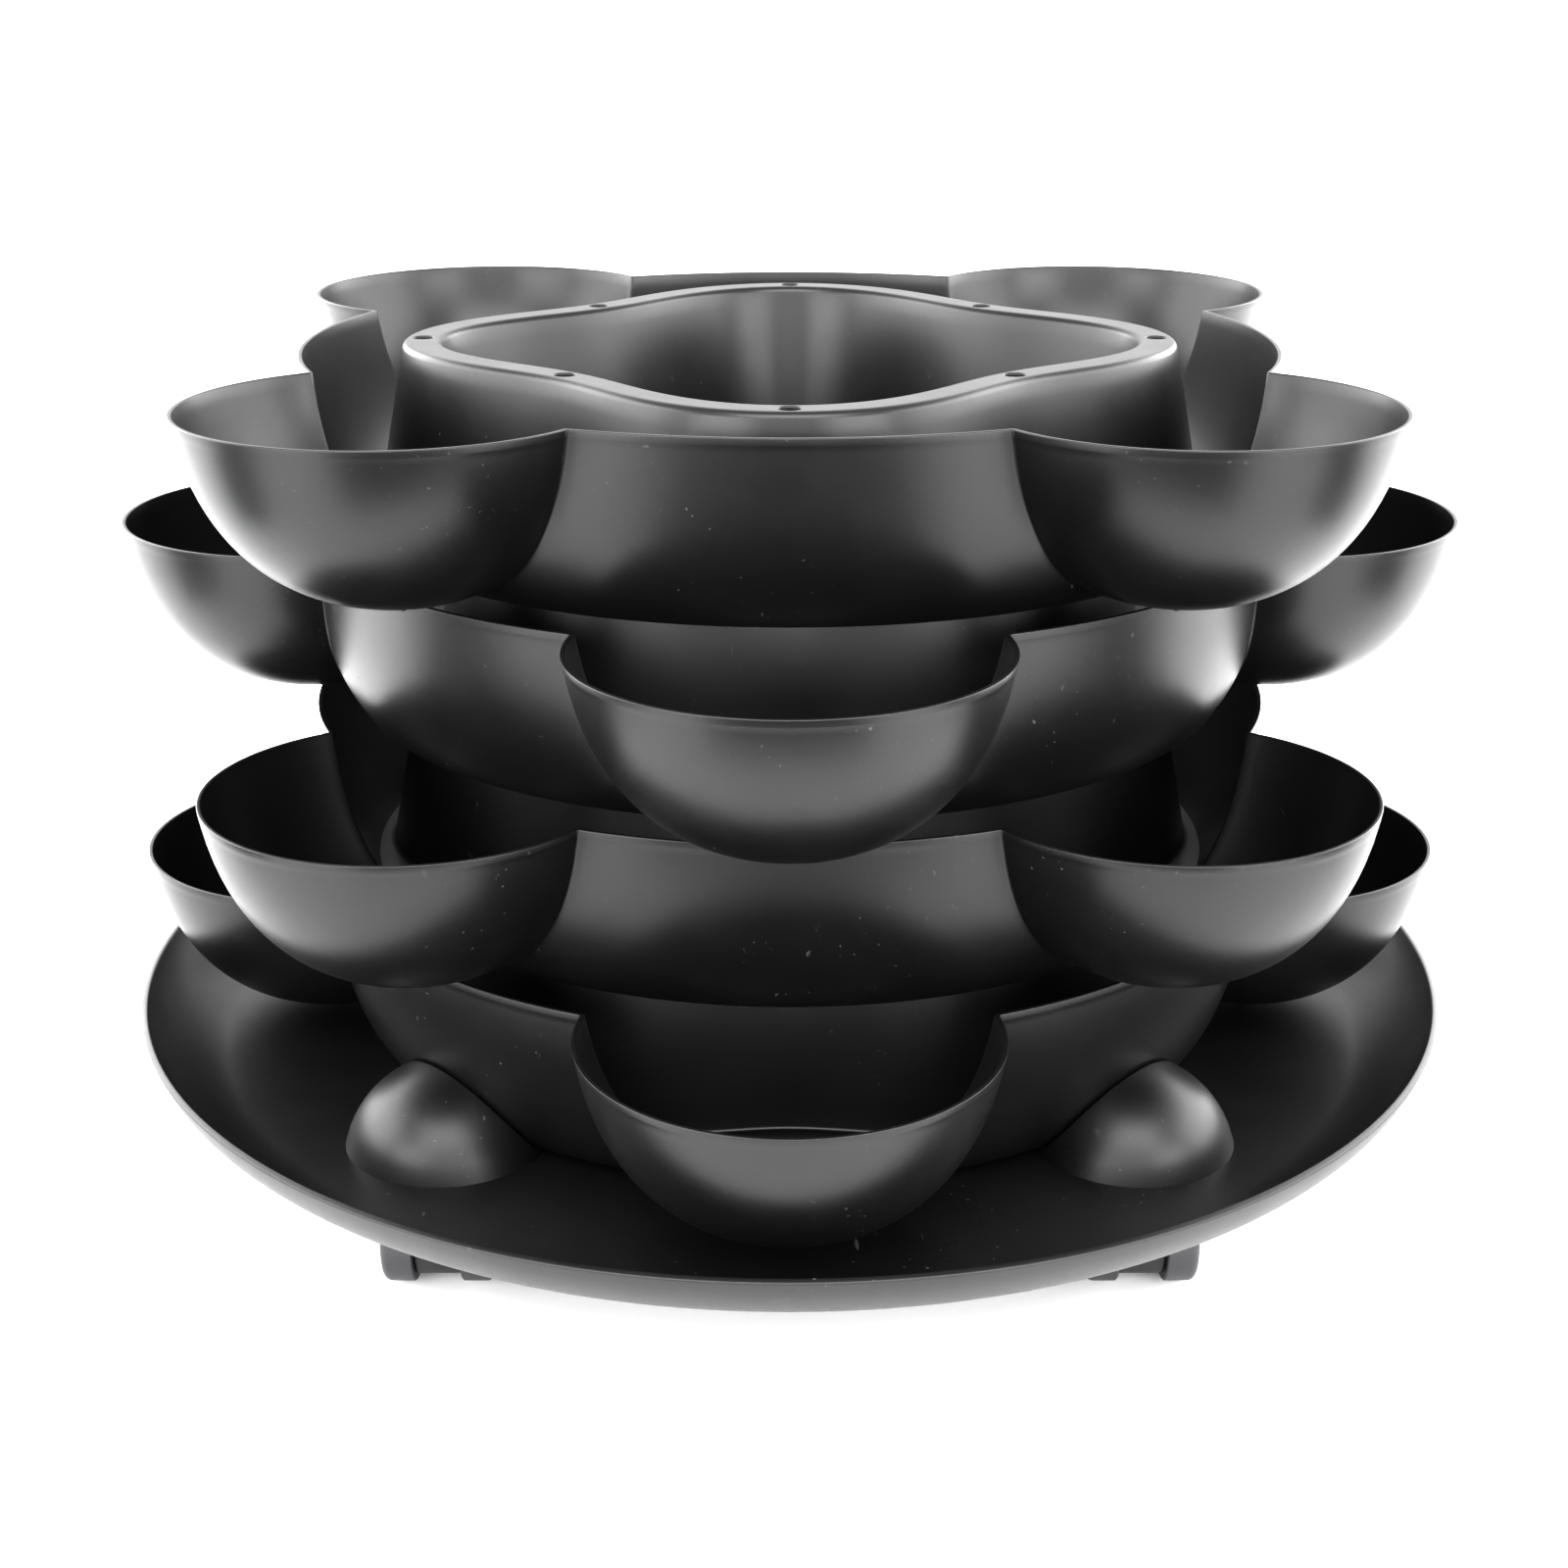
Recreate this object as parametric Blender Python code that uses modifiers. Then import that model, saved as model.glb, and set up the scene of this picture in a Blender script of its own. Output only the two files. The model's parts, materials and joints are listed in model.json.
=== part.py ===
"""Rolling stacking planter tower: four equal four-cup tiers on a saucer with twin-wheel casters.

Every tier is one moulding: a round bowl with four round cups on its rim, a four-lobed double-walled
ring in the middle, locating pegs under its floor and a small lug under each cup. Each tier stands
an eighth of a turn round from the one below it, with its pegs in that tier's ring holes. The lowest
one stands on the raised seat of a shallow saucer. Four domes in the saucer hold the caster sockets.

Metres, +Z up. The origin is on the floor, on the tower's axis.
"""
import math

import bmesh
import bpy
from mathutils import Matrix, Vector

MM = 0.001

# Tiers
TIER_COUNT = 4
TIER_PITCH = 58.47 * MM             # rim to rim
TIER_WALL = 2.0 * MM
STACK_GAP = 0.3 * MM                # left between stacked mouldings
CUP_COUNT = 4
CUP_RADIUS = 63.1 * MM
CUP_FLOOR = 2.8 * MM
CUP_DRAFT = math.radians(8.7)
CUP_SIDE_HANDLE = 0.8664            # curve handle of the cup's side, as a share of its depth
CUP_BASE_HANDLE = 0.339             # curve handle of its base, as a share of its radius
CUP_STEPS = 16
CUP_ROWS = 3
BOWL_RADIUS = 160.3 * MM
BOWL_INSET = 15.8 * MM              # from the rim in to the foot
BOWL_FOOT_RADIUS = BOWL_RADIUS - BOWL_INSET
BOWL_DRAFT = math.radians(4.3)
BOWL_FOOT_SLOPE = math.radians(48)  # of the bowl's side at its foot
BOWL_SIDE_HANDLE = 0.42             # curve handles of the bowl's side, as shares of its depth
BOWL_FOOT_HANDLE = 0.24
BOWL_STEPS = 24
BOWL_ROWS = 3
BOWL_TURN = math.radians(3)         # keeps the bowl's seams off the cups' seams
CUP_BEYOND_BOWL = 0.9 * MM          # cup's axis outside the bowl's rim
CUP_DISTANCE = BOWL_RADIUS + CUP_BEYOND_BOWL

# Ring in the middle of a tier
RING_INSET = 23.0 * MM              # from the bowl's foot in to the middle of the ring's lobes
RING_WAVE = 24.5 * MM               # between the lobes' distance and the waists'
RING_LOBE_RADIUS = BOWL_FOOT_RADIUS - RING_INSET
RING_WAIST_RADIUS = RING_LOBE_RADIUS - RING_WAVE
RING_WIDTH = 12.8 * MM
RING_PROUD = 0.6 * MM               # above the bowl's rim
RING_DRAFT = math.radians(10.5)
RING_STEPS = 24
HOLE_RADIUS = 3.3 * MM
PEG_GAP = 0.5 * MM                  # round a peg in its hole
PEG_LENGTH = 4.6 * MM
HOLE_SIDES = 6
DRAIN_RADIUS = 3.0 * MM
DRAIN_INSET = 6.5 * MM              # drain holes of the trough, towards each cup, in from the foot
DRAIN_DISTANCE = BOWL_FOOT_RADIUS - DRAIN_INSET

# Lug under a cup, outside the bowl's rim below it
LUG_WIDTH = 4.0 * MM
LUG_THICKNESS = 1.8 * MM
LUG_DROP = 2.4 * MM
LUG_GAP = 0.5 * MM

# Saucer
SAUCER_BEYOND_CUPS = 0.7 * MM
SAUCER_RADIUS = CUP_DISTANCE + CUP_RADIUS + SAUCER_BEYOND_CUPS
SAUCER_DEPTH = 18.3 * MM            # from the rim down to the top of the plate
SAUCER_WALL = 2.3 * MM
RIM_SLOPE = math.radians(74)        # how steep the side is at the rim
SEAT_HEIGHT = 3.3 * MM              # raised ring that the lowest tier stands on
SEAT_MARGIN = 4.5 * MM              # seat beyond the peg holes on both sides
SAUCER_STEPS = 32
SAUCER_RIM_ROWS = 3

# Domes over the caster sockets
DOME_COUNT = 4
DOME_BEYOND_FOOT = 8.5 * MM         # dome's axis beyond the foot of the bowl
DOME_DISTANCE = BOWL_FOOT_RADIUS + DOME_BEYOND_FOOT
DOME_BASE_RADIUS = 32.4 * MM
DOME_HEIGHT = 25.6 * MM
DOME_TIER_GAP = 1.0 * MM            # between a dome and the bowl of the lowest tier
DOME_STEPS = 12
DOME_ROWS = 3

# Casters
CASTER_BEYOND_DOME = 3.0 * MM       # swivel axis beyond the dome's axis
CASTER_DISTANCE = DOME_DISTANCE + CASTER_BEYOND_DOME
CASTER_TRAIL = 7.0 * MM             # axle behind the swivel axis
CASTER_WIDTH = 34.7 * MM
WHEEL_RADIUS = 17 * MM
WHEEL_WIDTH = 9.9 * MM
WHEEL_EDGE = 2.6 * MM               # rounded outer edge
WHEEL_DISH = 2.0 * MM
WHEEL_RIM = 3.6 * MM
WHEEL_EDGE_ROWS = 2
WHEEL_STEPS = 12
WEB_CLEARANCE = 2.3 * MM            # web above the floor
GUARD_GAP = 0.9 * MM
GUARD_WALL = 1.5 * MM
GUARD_CUT = 5.0 * MM                # lower edge of the guard above the axle
HEAD_RADIUS = 7.0 * MM
HEAD_RISE = 2.8 * MM                # head above the guard
AXLE_RADIUS = 2.5 * MM
AXLE_HEAD_RADIUS = 4.0 * MM
AXLE_HEAD = 1.1 * MM
STEM_RADIUS = 3.5 * MM
STEM_IN_HEAD = 7.0 * MM
STEM_CHAMFER = 0.8 * MM
STEM_GROOVE = 0.9 * MM
GRIP_RING_SECTION = 1.0 * MM
GRIP_RING_SLOT = 3.0 * MM
GRIP_RING_BELOW_TOP = 3.2 * MM
SOCKET_WALL = 1.4 * MM
SOCKET_FLANGE = 1.0 * MM
SOCKET_FLANGE_EDGE = 2.6 * MM       # flange beyond the sleeve
SOCKET_DEPTH = 10.2 * MM
BOSS_WALL = 1.9 * MM
ROUND_STEPS = 8
CYLINDER_TURN = math.radians(10)    # keeps a cylinder's corners off its neighbours' seams

FIT = 0.3 * MM                      # between neighbouring pieces
RUN_GAP = 0.5 * MM                  # between the turning head and the socket's flange
OVER = 2.0 * MM                     # how far a cutter runs past the face it opens

# Worked out
GUARD_INNER = WHEEL_RADIUS + GUARD_GAP
GUARD_RADIUS = GUARD_INNER + GUARD_WALL
HEAD_TOP = WHEEL_RADIUS + GUARD_RADIUS + HEAD_RISE
FLANGE_BOTTOM = HEAD_TOP + RUN_GAP
CASTER_HEIGHT = FLANGE_BOTTOM + SOCKET_FLANGE + FIT    # floor to the underside of the saucer
PLATE_TOP = CASTER_HEIGHT + SAUCER_WALL
SEAT_TOP = PLATE_TOP + SEAT_HEIGHT
TIER_DEPTH = TIER_PITCH - RING_PROUD - STACK_GAP
CUP_DEPTH = TIER_PITCH - STACK_GAP
FLOOR_TOP = TIER_WALL - TIER_DEPTH
PEG_RADIUS = HOLE_RADIUS - PEG_GAP
LOWEST_RIM = SEAT_TOP + STACK_GAP + TIER_DEPTH
WHEEL_INNER = CASTER_WIDTH / 2 - WHEEL_WIDTH
WEB_WIDTH = 2 * (WHEEL_INNER - FIT)
SOCKET_BORE = STEM_RADIUS + FIT
SOCKET_RADIUS = SOCKET_BORE + SOCKET_WALL
SOCKET_TOP = CASTER_HEIGHT + SOCKET_DEPTH
STEM_TOP = SOCKET_TOP - FIT
EIGHTH = math.pi / 4


def clear_scene():
    """Remove every object of the open scene."""
    for obj in list(bpy.data.objects):
        bpy.data.objects.remove(obj, do_unlink=True)


def new_collection(name):
    """A collection under the scene's own."""
    group = bpy.data.collections.new(name)
    bpy.context.scene.collection.children.link(group)
    return group


clear_scene()
PARTS = new_collection("stacking_planter_tower")
CUTTERS = new_collection("cutters")


def plastic(name, colour, roughness, metallic=0.0):
    """A Principled material."""
    made = bpy.data.materials.new(name)
    made.use_nodes = True
    shader = made.node_tree.nodes["Principled BSDF"]
    shader.inputs["Base Color"].default_value = (*colour, 1.0)
    shader.inputs["Roughness"].default_value = roughness
    shader.inputs["Metallic"].default_value = metallic
    return made


def add_object(name, mesh, as_part):
    """An object for a mesh: a part, or a hidden wire shape that parts are made with."""
    obj = bpy.data.objects.new(name, mesh)
    if as_part:
        PARTS.objects.link(obj)
    else:
        CUTTERS.objects.link(obj)
        obj.hide_render = True
        obj.display_type = "WIRE"
    return obj


def lathe(name, profile, steps):
    """Turn a profile of (radius, height) points, given top first, round Z."""
    mesh = bpy.data.meshes.new(name)
    points = [(radius, 0.0, height) for radius, height in profile]
    edges = [(i, i + 1) for i in range(len(points) - 1)]
    if profile[0][0] > 0:
        edges.append((len(points) - 1, 0))
    mesh.from_pydata(points, edges, [])
    obj = add_object(name, mesh, False)
    screw = obj.modifiers.new("turn", "SCREW")
    screw.axis = "Z"
    screw.angle = 2 * math.pi
    screw.steps = steps
    screw.render_steps = steps
    screw.use_merge_vertices = True
    screw.merge_threshold = 0.00001
    return obj


def cylinder(name, radius, bottom, top, sides=ROUND_STEPS, at=(0.0, 0.0)):
    """A closed upright cylinder."""
    mesh = bpy.data.meshes.new(name)
    shape = bmesh.new()
    middle = Matrix.Translation((at[0], at[1], (bottom + top) / 2))
    turn = Matrix.Rotation(CYLINDER_TURN, 4, "Z")
    bmesh.ops.create_cone(shape, cap_ends=True, segments=sides, radius1=radius, radius2=radius,
                          depth=top - bottom, matrix=middle @ turn)
    shape.to_mesh(mesh)
    shape.free()
    return add_object(name, mesh, False)


def turned(obj, x=0.0, y=0.0, z=0.0, about_z=0.0):
    """Place an object by its location and its turn about Z."""
    obj.location = (x, y, z)
    obj.rotation_euler = (0.0, 0.0, about_z)
    return obj


def round_piece(name, profile):
    """A turned piece with its corners in line with those of the cylinder that bores its hole."""
    return turned(lathe(name, profile, ROUND_STEPS), about_z=CYLINDER_TURN)


def box(name, low, high):
    """A closed box between two corners."""
    mesh = bpy.data.meshes.new(name)
    shape = bmesh.new()
    size = [b - a for a, b in zip(low, high)]
    middle = [(a + b) / 2 for a, b in zip(low, high)]
    bmesh.ops.create_cube(shape, size=1.0, matrix=Matrix.Translation(middle) @ Matrix.Diagonal((*size, 1.0)))
    shape.to_mesh(mesh)
    shape.free()
    return add_object(name, mesh, False)


def combine(target, tool, operation):
    """Join, cut or intersect the target with a tool, and hand the target back."""
    step = target.modifiers.new(tool.name, "BOOLEAN")
    step.operation = operation
    step.solver = "EXACT"
    step.object = tool
    return target


def join(target, *tools):
    """Add the tools to the target."""
    for tool in tools:
        combine(target, tool, "UNION")
    return target


def cut(target, *tools):
    """Take the tools away from the target."""
    for tool in tools:
        combine(target, tool, "DIFFERENCE")
    return target


def baked(obj):
    """The evaluated mesh of an object, in world space, smooth with sharp edges."""
    bpy.context.view_layer.update()
    graph = bpy.context.evaluated_depsgraph_get()
    mesh = bpy.data.meshes.new_from_object(obj.evaluated_get(graph))
    mesh.transform(obj.matrix_world)
    mesh.shade_smooth()
    mesh.set_sharp_from_angle(angle=math.radians(35))
    return mesh


def bezier(start, first, second, end, rows):
    """Points of a cubic curve in the (radius, height) plane."""
    points = []
    for i in range(rows + 1):
        t = i / rows
        weights = ((1 - t) ** 3, 3 * t * (1 - t) ** 2, 3 * t * t * (1 - t), t ** 3)
        corners = (start, first, second, end)
        points.append(tuple(sum(w * p[axis] for w, p in zip(weights, corners)) for axis in (0, 1)))
    return points


def cup_profile(radius, depth):
    """Rim to lowest point of a cup."""
    handle = CUP_SIDE_HANDLE * CUP_DEPTH
    side = (radius - handle * math.sin(CUP_DRAFT), -handle * math.cos(CUP_DRAFT))
    return bezier((radius, 0.0), side, (CUP_BASE_HANDLE * CUP_RADIUS, -depth), (0.0, -depth), CUP_ROWS)


def bowl_profile(grow, depth):
    """Rim to foot of the bowl, grown outwards by a wall or a gap."""
    side = BOWL_SIDE_HANDLE * depth
    foot = BOWL_FOOT_HANDLE * depth
    rim = (BOWL_RADIUS + grow, 0.0)
    first = (rim[0] - side * math.tan(BOWL_DRAFT), -side)
    end = (BOWL_FOOT_RADIUS + grow, -depth)
    second = (end[0] + foot / math.tan(BOWL_FOOT_SLOPE), foot - depth)
    return bezier(rim, first, second, end, BOWL_ROWS)


def ring_point(angle, offset):
    """A point beside the ring's four-lobed centre line; angle 0 is in a lobe."""
    mean = (RING_LOBE_RADIUS + RING_WAIST_RADIUS) / 2
    wave = (RING_LOBE_RADIUS - RING_WAIST_RADIUS) / 2
    radius = mean + wave * math.cos(CUP_COUNT * angle)
    slope = -CUP_COUNT * wave * math.sin(CUP_COUNT * angle)
    along = Vector((math.cos(angle), math.sin(angle)))
    across = Vector((-along.y, along.x))
    outward = (radius * along - slope * across).normalized()
    return radius * along + offset * outward


def ring_loft(name, section):
    """Carry a closed section of (offset, height) points round the four-lobed line."""
    mesh = bpy.data.meshes.new(name)
    shape = bmesh.new()
    loops = []
    for i in range(RING_STEPS):
        angle = 2 * math.pi * i / RING_STEPS
        loops.append([shape.verts.new((*ring_point(angle, offset), height)) for offset, height in section])
    for here, ahead in zip(loops, loops[1:] + loops[:1]):
        for k in range(len(section)):
            after = (k + 1) % len(section)
            shape.faces.new((here[k], ahead[k], ahead[after], here[after]))
    bmesh.ops.recalc_face_normals(shape, faces=shape.faces)
    shape.to_mesh(mesh)
    shape.free()
    return add_object(name, mesh, False)


def peg_places():
    """Distance and direction of the eight pegs of a tier: lobes and waists of the ring below it."""
    for i in range(2 * CUP_COUNT):
        towards_cup = i % 2 == 1
        yield (RING_LOBE_RADIUS if towards_cup else RING_WAIST_RADIUS), i * EIGHTH


def hole_places():
    """Distance and direction of the eight holes in a tier's ring."""
    for i in range(2 * CUP_COUNT):
        towards_cup = i % 2 == 1
        yield (RING_WAIST_RADIUS if towards_cup else RING_LOBE_RADIUS), i * EIGHTH


def polar(distance, angle):
    """X and Y of a point at a distance and a direction."""
    return distance * math.cos(angle), distance * math.sin(angle)


def make_tier_mesh():
    """One tier moulding, its rim at height 0 and its cups on the diagonals."""
    outer = bowl_profile(0.0, TIER_DEPTH)
    tier = lathe("tier_master", [(0.0, 0.0), *outer, (0.0, -TIER_DEPTH)], BOWL_STEPS)
    turned(tier, about_z=BOWL_TURN)
    cup_angles = [EIGHTH + i * math.pi / 2 for i in range(CUP_COUNT)]
    for i, angle in enumerate(cup_angles):
        cup = lathe(f"cup_outside_{i}", [(0.0, 0.0), *cup_profile(CUP_RADIUS, CUP_DEPTH)], CUP_STEPS)
        join(tier, turned(cup, *polar(CUP_DISTANCE, angle), about_z=angle))

    inner = bowl_profile(-TIER_WALL, TIER_DEPTH - TIER_WALL)
    hollow = lathe("bowl_inside", [(0.0, OVER), (inner[0][0], OVER), *inner, (0.0, FLOOR_TOP)], BOWL_STEPS)
    cut(tier, turned(hollow, about_z=BOWL_TURN))
    for i, angle in enumerate(cup_angles):
        inside = cup_profile(CUP_RADIUS - TIER_WALL, CUP_DEPTH - CUP_FLOOR)
        cup = lathe(f"cup_inside_{i}", [(0.0, OVER), (inside[0][0], OVER), *inside], CUP_STEPS)
        cut(tier, turned(cup, *polar(CUP_DISTANCE, angle), about_z=angle))

    half = RING_WIDTH / 2
    ring_foot = FLOOR_TOP - TIER_WALL / 2
    lean = math.tan(RING_DRAFT)
    foot = half + (RING_PROUD - ring_foot) * lean
    join(tier, ring_loft("ring_walls", [(-half, RING_PROUD), (half, RING_PROUD),
                                        (foot, ring_foot), (-foot, ring_foot)]))
    ceiling = RING_PROUD - TIER_WALL
    mouth = -TIER_DEPTH - OVER
    narrow = half - TIER_WALL
    wide = narrow + (ceiling - mouth) * lean
    channel = [(-narrow, ceiling), (narrow, ceiling), (wide, mouth), (-wide, mouth)]
    cut(tier, ring_loft("ring_channel", channel))

    for i, (distance, angle) in enumerate(hole_places()):
        cut(tier, cylinder(f"ring_hole_{i}", HOLE_RADIUS, ceiling - OVER, RING_PROUD + OVER, HOLE_SIDES,
                           polar(distance, angle)))
    for i, (distance, angle) in enumerate(peg_places()):
        join(tier, cylinder(f"peg_{i}", PEG_RADIUS, -TIER_DEPTH - PEG_LENGTH, ring_foot, HOLE_SIDES,
                            polar(distance, angle)))
    lug_near = BOWL_RADIUS + LUG_GAP
    for i, angle in enumerate(cup_angles):
        lug = box(f"lug_{i}", (lug_near, -LUG_WIDTH / 2, -CUP_DEPTH - LUG_DROP),
                  (lug_near + LUG_THICKNESS, LUG_WIDTH / 2, CUP_FLOOR / 2 - CUP_DEPTH))
        join(tier, turned(lug, about_z=angle))
        cut(tier, cylinder(f"trough_drain_{i}", DRAIN_RADIUS, -TIER_DEPTH - OVER, FLOOR_TOP + OVER,
                           HOLE_SIDES, polar(DRAIN_DISTANCE, angle)))
    cut(tier, cylinder("core_drain", DRAIN_RADIUS, -TIER_DEPTH - OVER, FLOOR_TOP + OVER, HOLE_SIDES))
    return baked(tier)


def make_tiers():
    """Four copies of the moulding, tier_1 at the top, each an eighth of a turn from the next."""
    mesh = make_tier_mesh()
    mesh.materials.append(plastic("tier_plastic", (0.017, 0.018, 0.021), 0.42))
    for number in range(1, TIER_COUNT + 1):
        below = TIER_COUNT - number
        tier = add_object(f"tier_{number}", mesh, True)
        turned(tier, z=LOWEST_RIM + below * TIER_PITCH, about_z=EIGHTH * ((number - 1) % 2))


def dome_shape(name, shrink, bottom):
    """Round dome about its own axis, shrunk by a wall, with a straight foot down to a height."""
    sphere = (DOME_BASE_RADIUS ** 2 + DOME_HEIGHT ** 2) / (2 * DOME_HEIGHT)
    centre = PLATE_TOP + DOME_HEIGHT - sphere
    radius = sphere - shrink
    step = math.acos((PLATE_TOP - centre) / sphere) / DOME_ROWS
    arc = [(radius * math.sin(step * i), centre + radius * math.cos(step * i)) for i in range(DOME_ROWS + 1)]
    return lathe(name, [*arc, (arc[-1][0], bottom), (0.0, bottom)], DOME_STEPS)


def tier_clearance(name, gap, drop):
    """The space of the lowest tier's bowl, grown by a gap, down to a drop below the seat's top."""
    side = [(radius, LOWEST_RIM + height) for radius, height in bowl_profile(gap, TIER_DEPTH)]
    bottom = SEAT_TOP - drop
    space = lathe(name, [(0.0, LOWEST_RIM), *side, (side[-1][0], bottom), (0.0, bottom)], BOWL_STEPS)
    return turned(space, about_z=BOWL_TURN)


def saucer_profile():
    """Section of the saucer: centre of its top, out over the seat to the rim, and back underneath."""
    corner = (SAUCER_DEPTH + SAUCER_WALL) / (1 - math.cos(RIM_SLOPE))
    centre = SAUCER_RADIUS - corner * math.sin(RIM_SLOPE)
    centre_height = CASTER_HEIGHT + corner
    step = RIM_SLOPE / SAUCER_RIM_ROWS

    def arc(radius, order):
        return [(centre + radius * math.sin(step * i), centre_height - radius * math.cos(step * i))
                for i in order]

    seat_in = RING_WAIST_RADIUS - HOLE_RADIUS - SEAT_MARGIN
    seat_out = RING_LOBE_RADIUS + HOLE_RADIUS + SEAT_MARGIN
    top = [(0.0, PLATE_TOP), (seat_in, PLATE_TOP), (seat_in + SEAT_HEIGHT / 2, SEAT_TOP),
           (seat_out - SEAT_HEIGHT / 2, SEAT_TOP), (seat_out, PLATE_TOP)]
    inside = arc(corner - SAUCER_WALL, range(SAUCER_RIM_ROWS + 1))
    outside = arc(corner, range(SAUCER_RIM_ROWS, -1, -1))
    under = [(seat_out - SAUCER_WALL, CASTER_HEIGHT),
             (seat_out - SAUCER_WALL - SEAT_HEIGHT / 2, CASTER_HEIGHT + SEAT_HEIGHT),
             (seat_in + SAUCER_WALL + SEAT_HEIGHT / 2, CASTER_HEIGHT + SEAT_HEIGHT),
             (seat_in + SAUCER_WALL, CASTER_HEIGHT), (0.0, CASTER_HEIGHT)]
    return [*top, *inside, *outside, *under]


def dome_angles():
    """Directions of the domes: the diagonals."""
    return [EIGHTH + i * 2 * math.pi / DOME_COUNT for i in range(DOME_COUNT)]


def make_saucer():
    """The saucer with its domes, caster sockets' bosses, seat and peg holes."""
    saucer = lathe("saucer_master", saucer_profile(), SAUCER_STEPS)
    well_drop = SAUCER_WALL + FIT
    for i, angle in enumerate(dome_angles()):
        dome = turned(dome_shape(f"dome_{i}", 0.0, CASTER_HEIGHT + SAUCER_WALL / 2),
                      *polar(DOME_DISTANCE, angle), about_z=angle)
        cut(dome, tier_clearance(f"dome_clearance_{i}", DOME_TIER_GAP, FIT))
        join(saucer, dome)
    for i, angle in enumerate(dome_angles()):
        well = turned(dome_shape(f"well_{i}", SAUCER_WALL, CASTER_HEIGHT - OVER),
                      *polar(DOME_DISTANCE, angle), about_z=angle)
        cut(well, tier_clearance(f"well_clearance_{i}", DOME_TIER_GAP + SAUCER_WALL, well_drop))
        cut(saucer, well)
        place = polar(CASTER_DISTANCE, angle)
        boss_radius = SOCKET_RADIUS + FIT + BOSS_WALL
        boss_top = PLATE_TOP + DOME_HEIGHT - SAUCER_WALL
        boss = cylinder(f"boss_{i}", boss_radius, CASTER_HEIGHT, boss_top, at=place)
        cut(boss, tier_clearance(f"boss_clearance_{i}", DOME_TIER_GAP + SAUCER_WALL / 2, well_drop / 2))
        join(saucer, boss)
        cut(saucer, cylinder(f"boss_bore_{i}", SOCKET_RADIUS + FIT, CASTER_HEIGHT - OVER,
                             SOCKET_TOP + FIT, at=place))
    for i, (distance, angle) in enumerate(peg_places()):
        turn = angle + EIGHTH * ((TIER_COUNT - 1) % 2)
        cut(saucer, cylinder(f"seat_hole_{i}", HOLE_RADIUS, CASTER_HEIGHT - OVER, SEAT_TOP + OVER,
                             HOLE_SIDES, polar(distance, turn)))
    mesh = baked(saucer)
    mesh.materials.append(plastic("saucer_plastic", (0.017, 0.018, 0.021), 0.45))
    add_object("saucer", mesh, True)


def across(obj, y=0.0, z=0.0):
    """Lay a turned shape's axis along X, at a height and a place along Y."""
    obj.rotation_euler = (0.0, math.pi / 2, 0.0)
    obj.location = (0.0, y, z)
    return obj


def make_hood_mesh():
    """Caster body about its swivel axis: a web between the wheels, a guard over them and the head."""
    half = CASTER_WIDTH / 2
    web = WEB_WIDTH / 2
    axle = {"y": -CASTER_TRAIL, "z": WHEEL_RADIUS}
    hood = across(cylinder("hood_master", GUARD_RADIUS, -half, half, WHEEL_STEPS), **axle)
    for side, name in ((1, "right"), (-1, "left")):
        ends = sorted((side * web, side * (half + OVER)))
        cut(hood, across(cylinder(f"wheel_space_{name}", GUARD_INNER, *ends, WHEEL_STEPS), **axle))
    low = (-half - OVER, -CASTER_TRAIL - GUARD_RADIUS - OVER, WHEEL_RADIUS - GUARD_RADIUS - OVER)
    high = (half + OVER, GUARD_RADIUS + OVER, WHEEL_RADIUS + GUARD_CUT)
    cut(hood, box("guard_trim", low, high))
    join(hood, across(cylinder("web", WHEEL_RADIUS - WEB_CLEARANCE, -web, web, WHEEL_STEPS), **axle))
    stem_bottom = HEAD_TOP - STEM_IN_HEAD
    join(hood, cylinder("head", HEAD_RADIUS, stem_bottom - TIER_WALL, HEAD_TOP))
    cut(hood, cylinder("stem_bore", STEM_RADIUS + FIT, stem_bottom - FIT, HEAD_TOP + OVER))
    cut(hood, across(cylinder("axle_bore", AXLE_RADIUS + FIT, -half, half), **axle))
    return baked(hood)


def make_stem_mesh():
    """Stem about the swivel axis: a pin with a chamfered tip and the grip ring's groove."""
    ring_top = STEM_TOP - GRIP_RING_BELOW_TOP + GRIP_RING_SECTION / 2 + FIT
    ring_bottom = ring_top - GRIP_RING_SECTION - 2 * FIT
    neck = STEM_RADIUS - STEM_GROOVE
    bottom = HEAD_TOP - STEM_IN_HEAD
    profile = [(0.0, STEM_TOP), (STEM_RADIUS - STEM_CHAMFER, STEM_TOP),
               (STEM_RADIUS, STEM_TOP - STEM_CHAMFER), (STEM_RADIUS, ring_top), (neck, ring_top),
               (neck, ring_bottom), (STEM_RADIUS, ring_bottom), (STEM_RADIUS, bottom), (0.0, bottom)]
    return baked(round_piece("stem_master", profile))


def make_grip_ring_mesh():
    """Split ring in the stem's groove."""
    middle = STEM_TOP - GRIP_RING_BELOW_TOP
    inner = STEM_RADIUS - STEM_GROOVE + FIT
    outer = STEM_RADIUS
    low = middle - GRIP_RING_SECTION / 2
    high = middle + GRIP_RING_SECTION / 2
    ring = round_piece("grip_ring_master", [(inner, high), (outer, high), (outer, low), (inner, low)])
    slot_low = (0.0, -GRIP_RING_SLOT / 2, low - OVER)
    slot_high = (outer + OVER, GRIP_RING_SLOT / 2, high + OVER)
    cut(ring, box("grip_ring_slot", slot_low, slot_high))
    return baked(ring)


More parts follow.
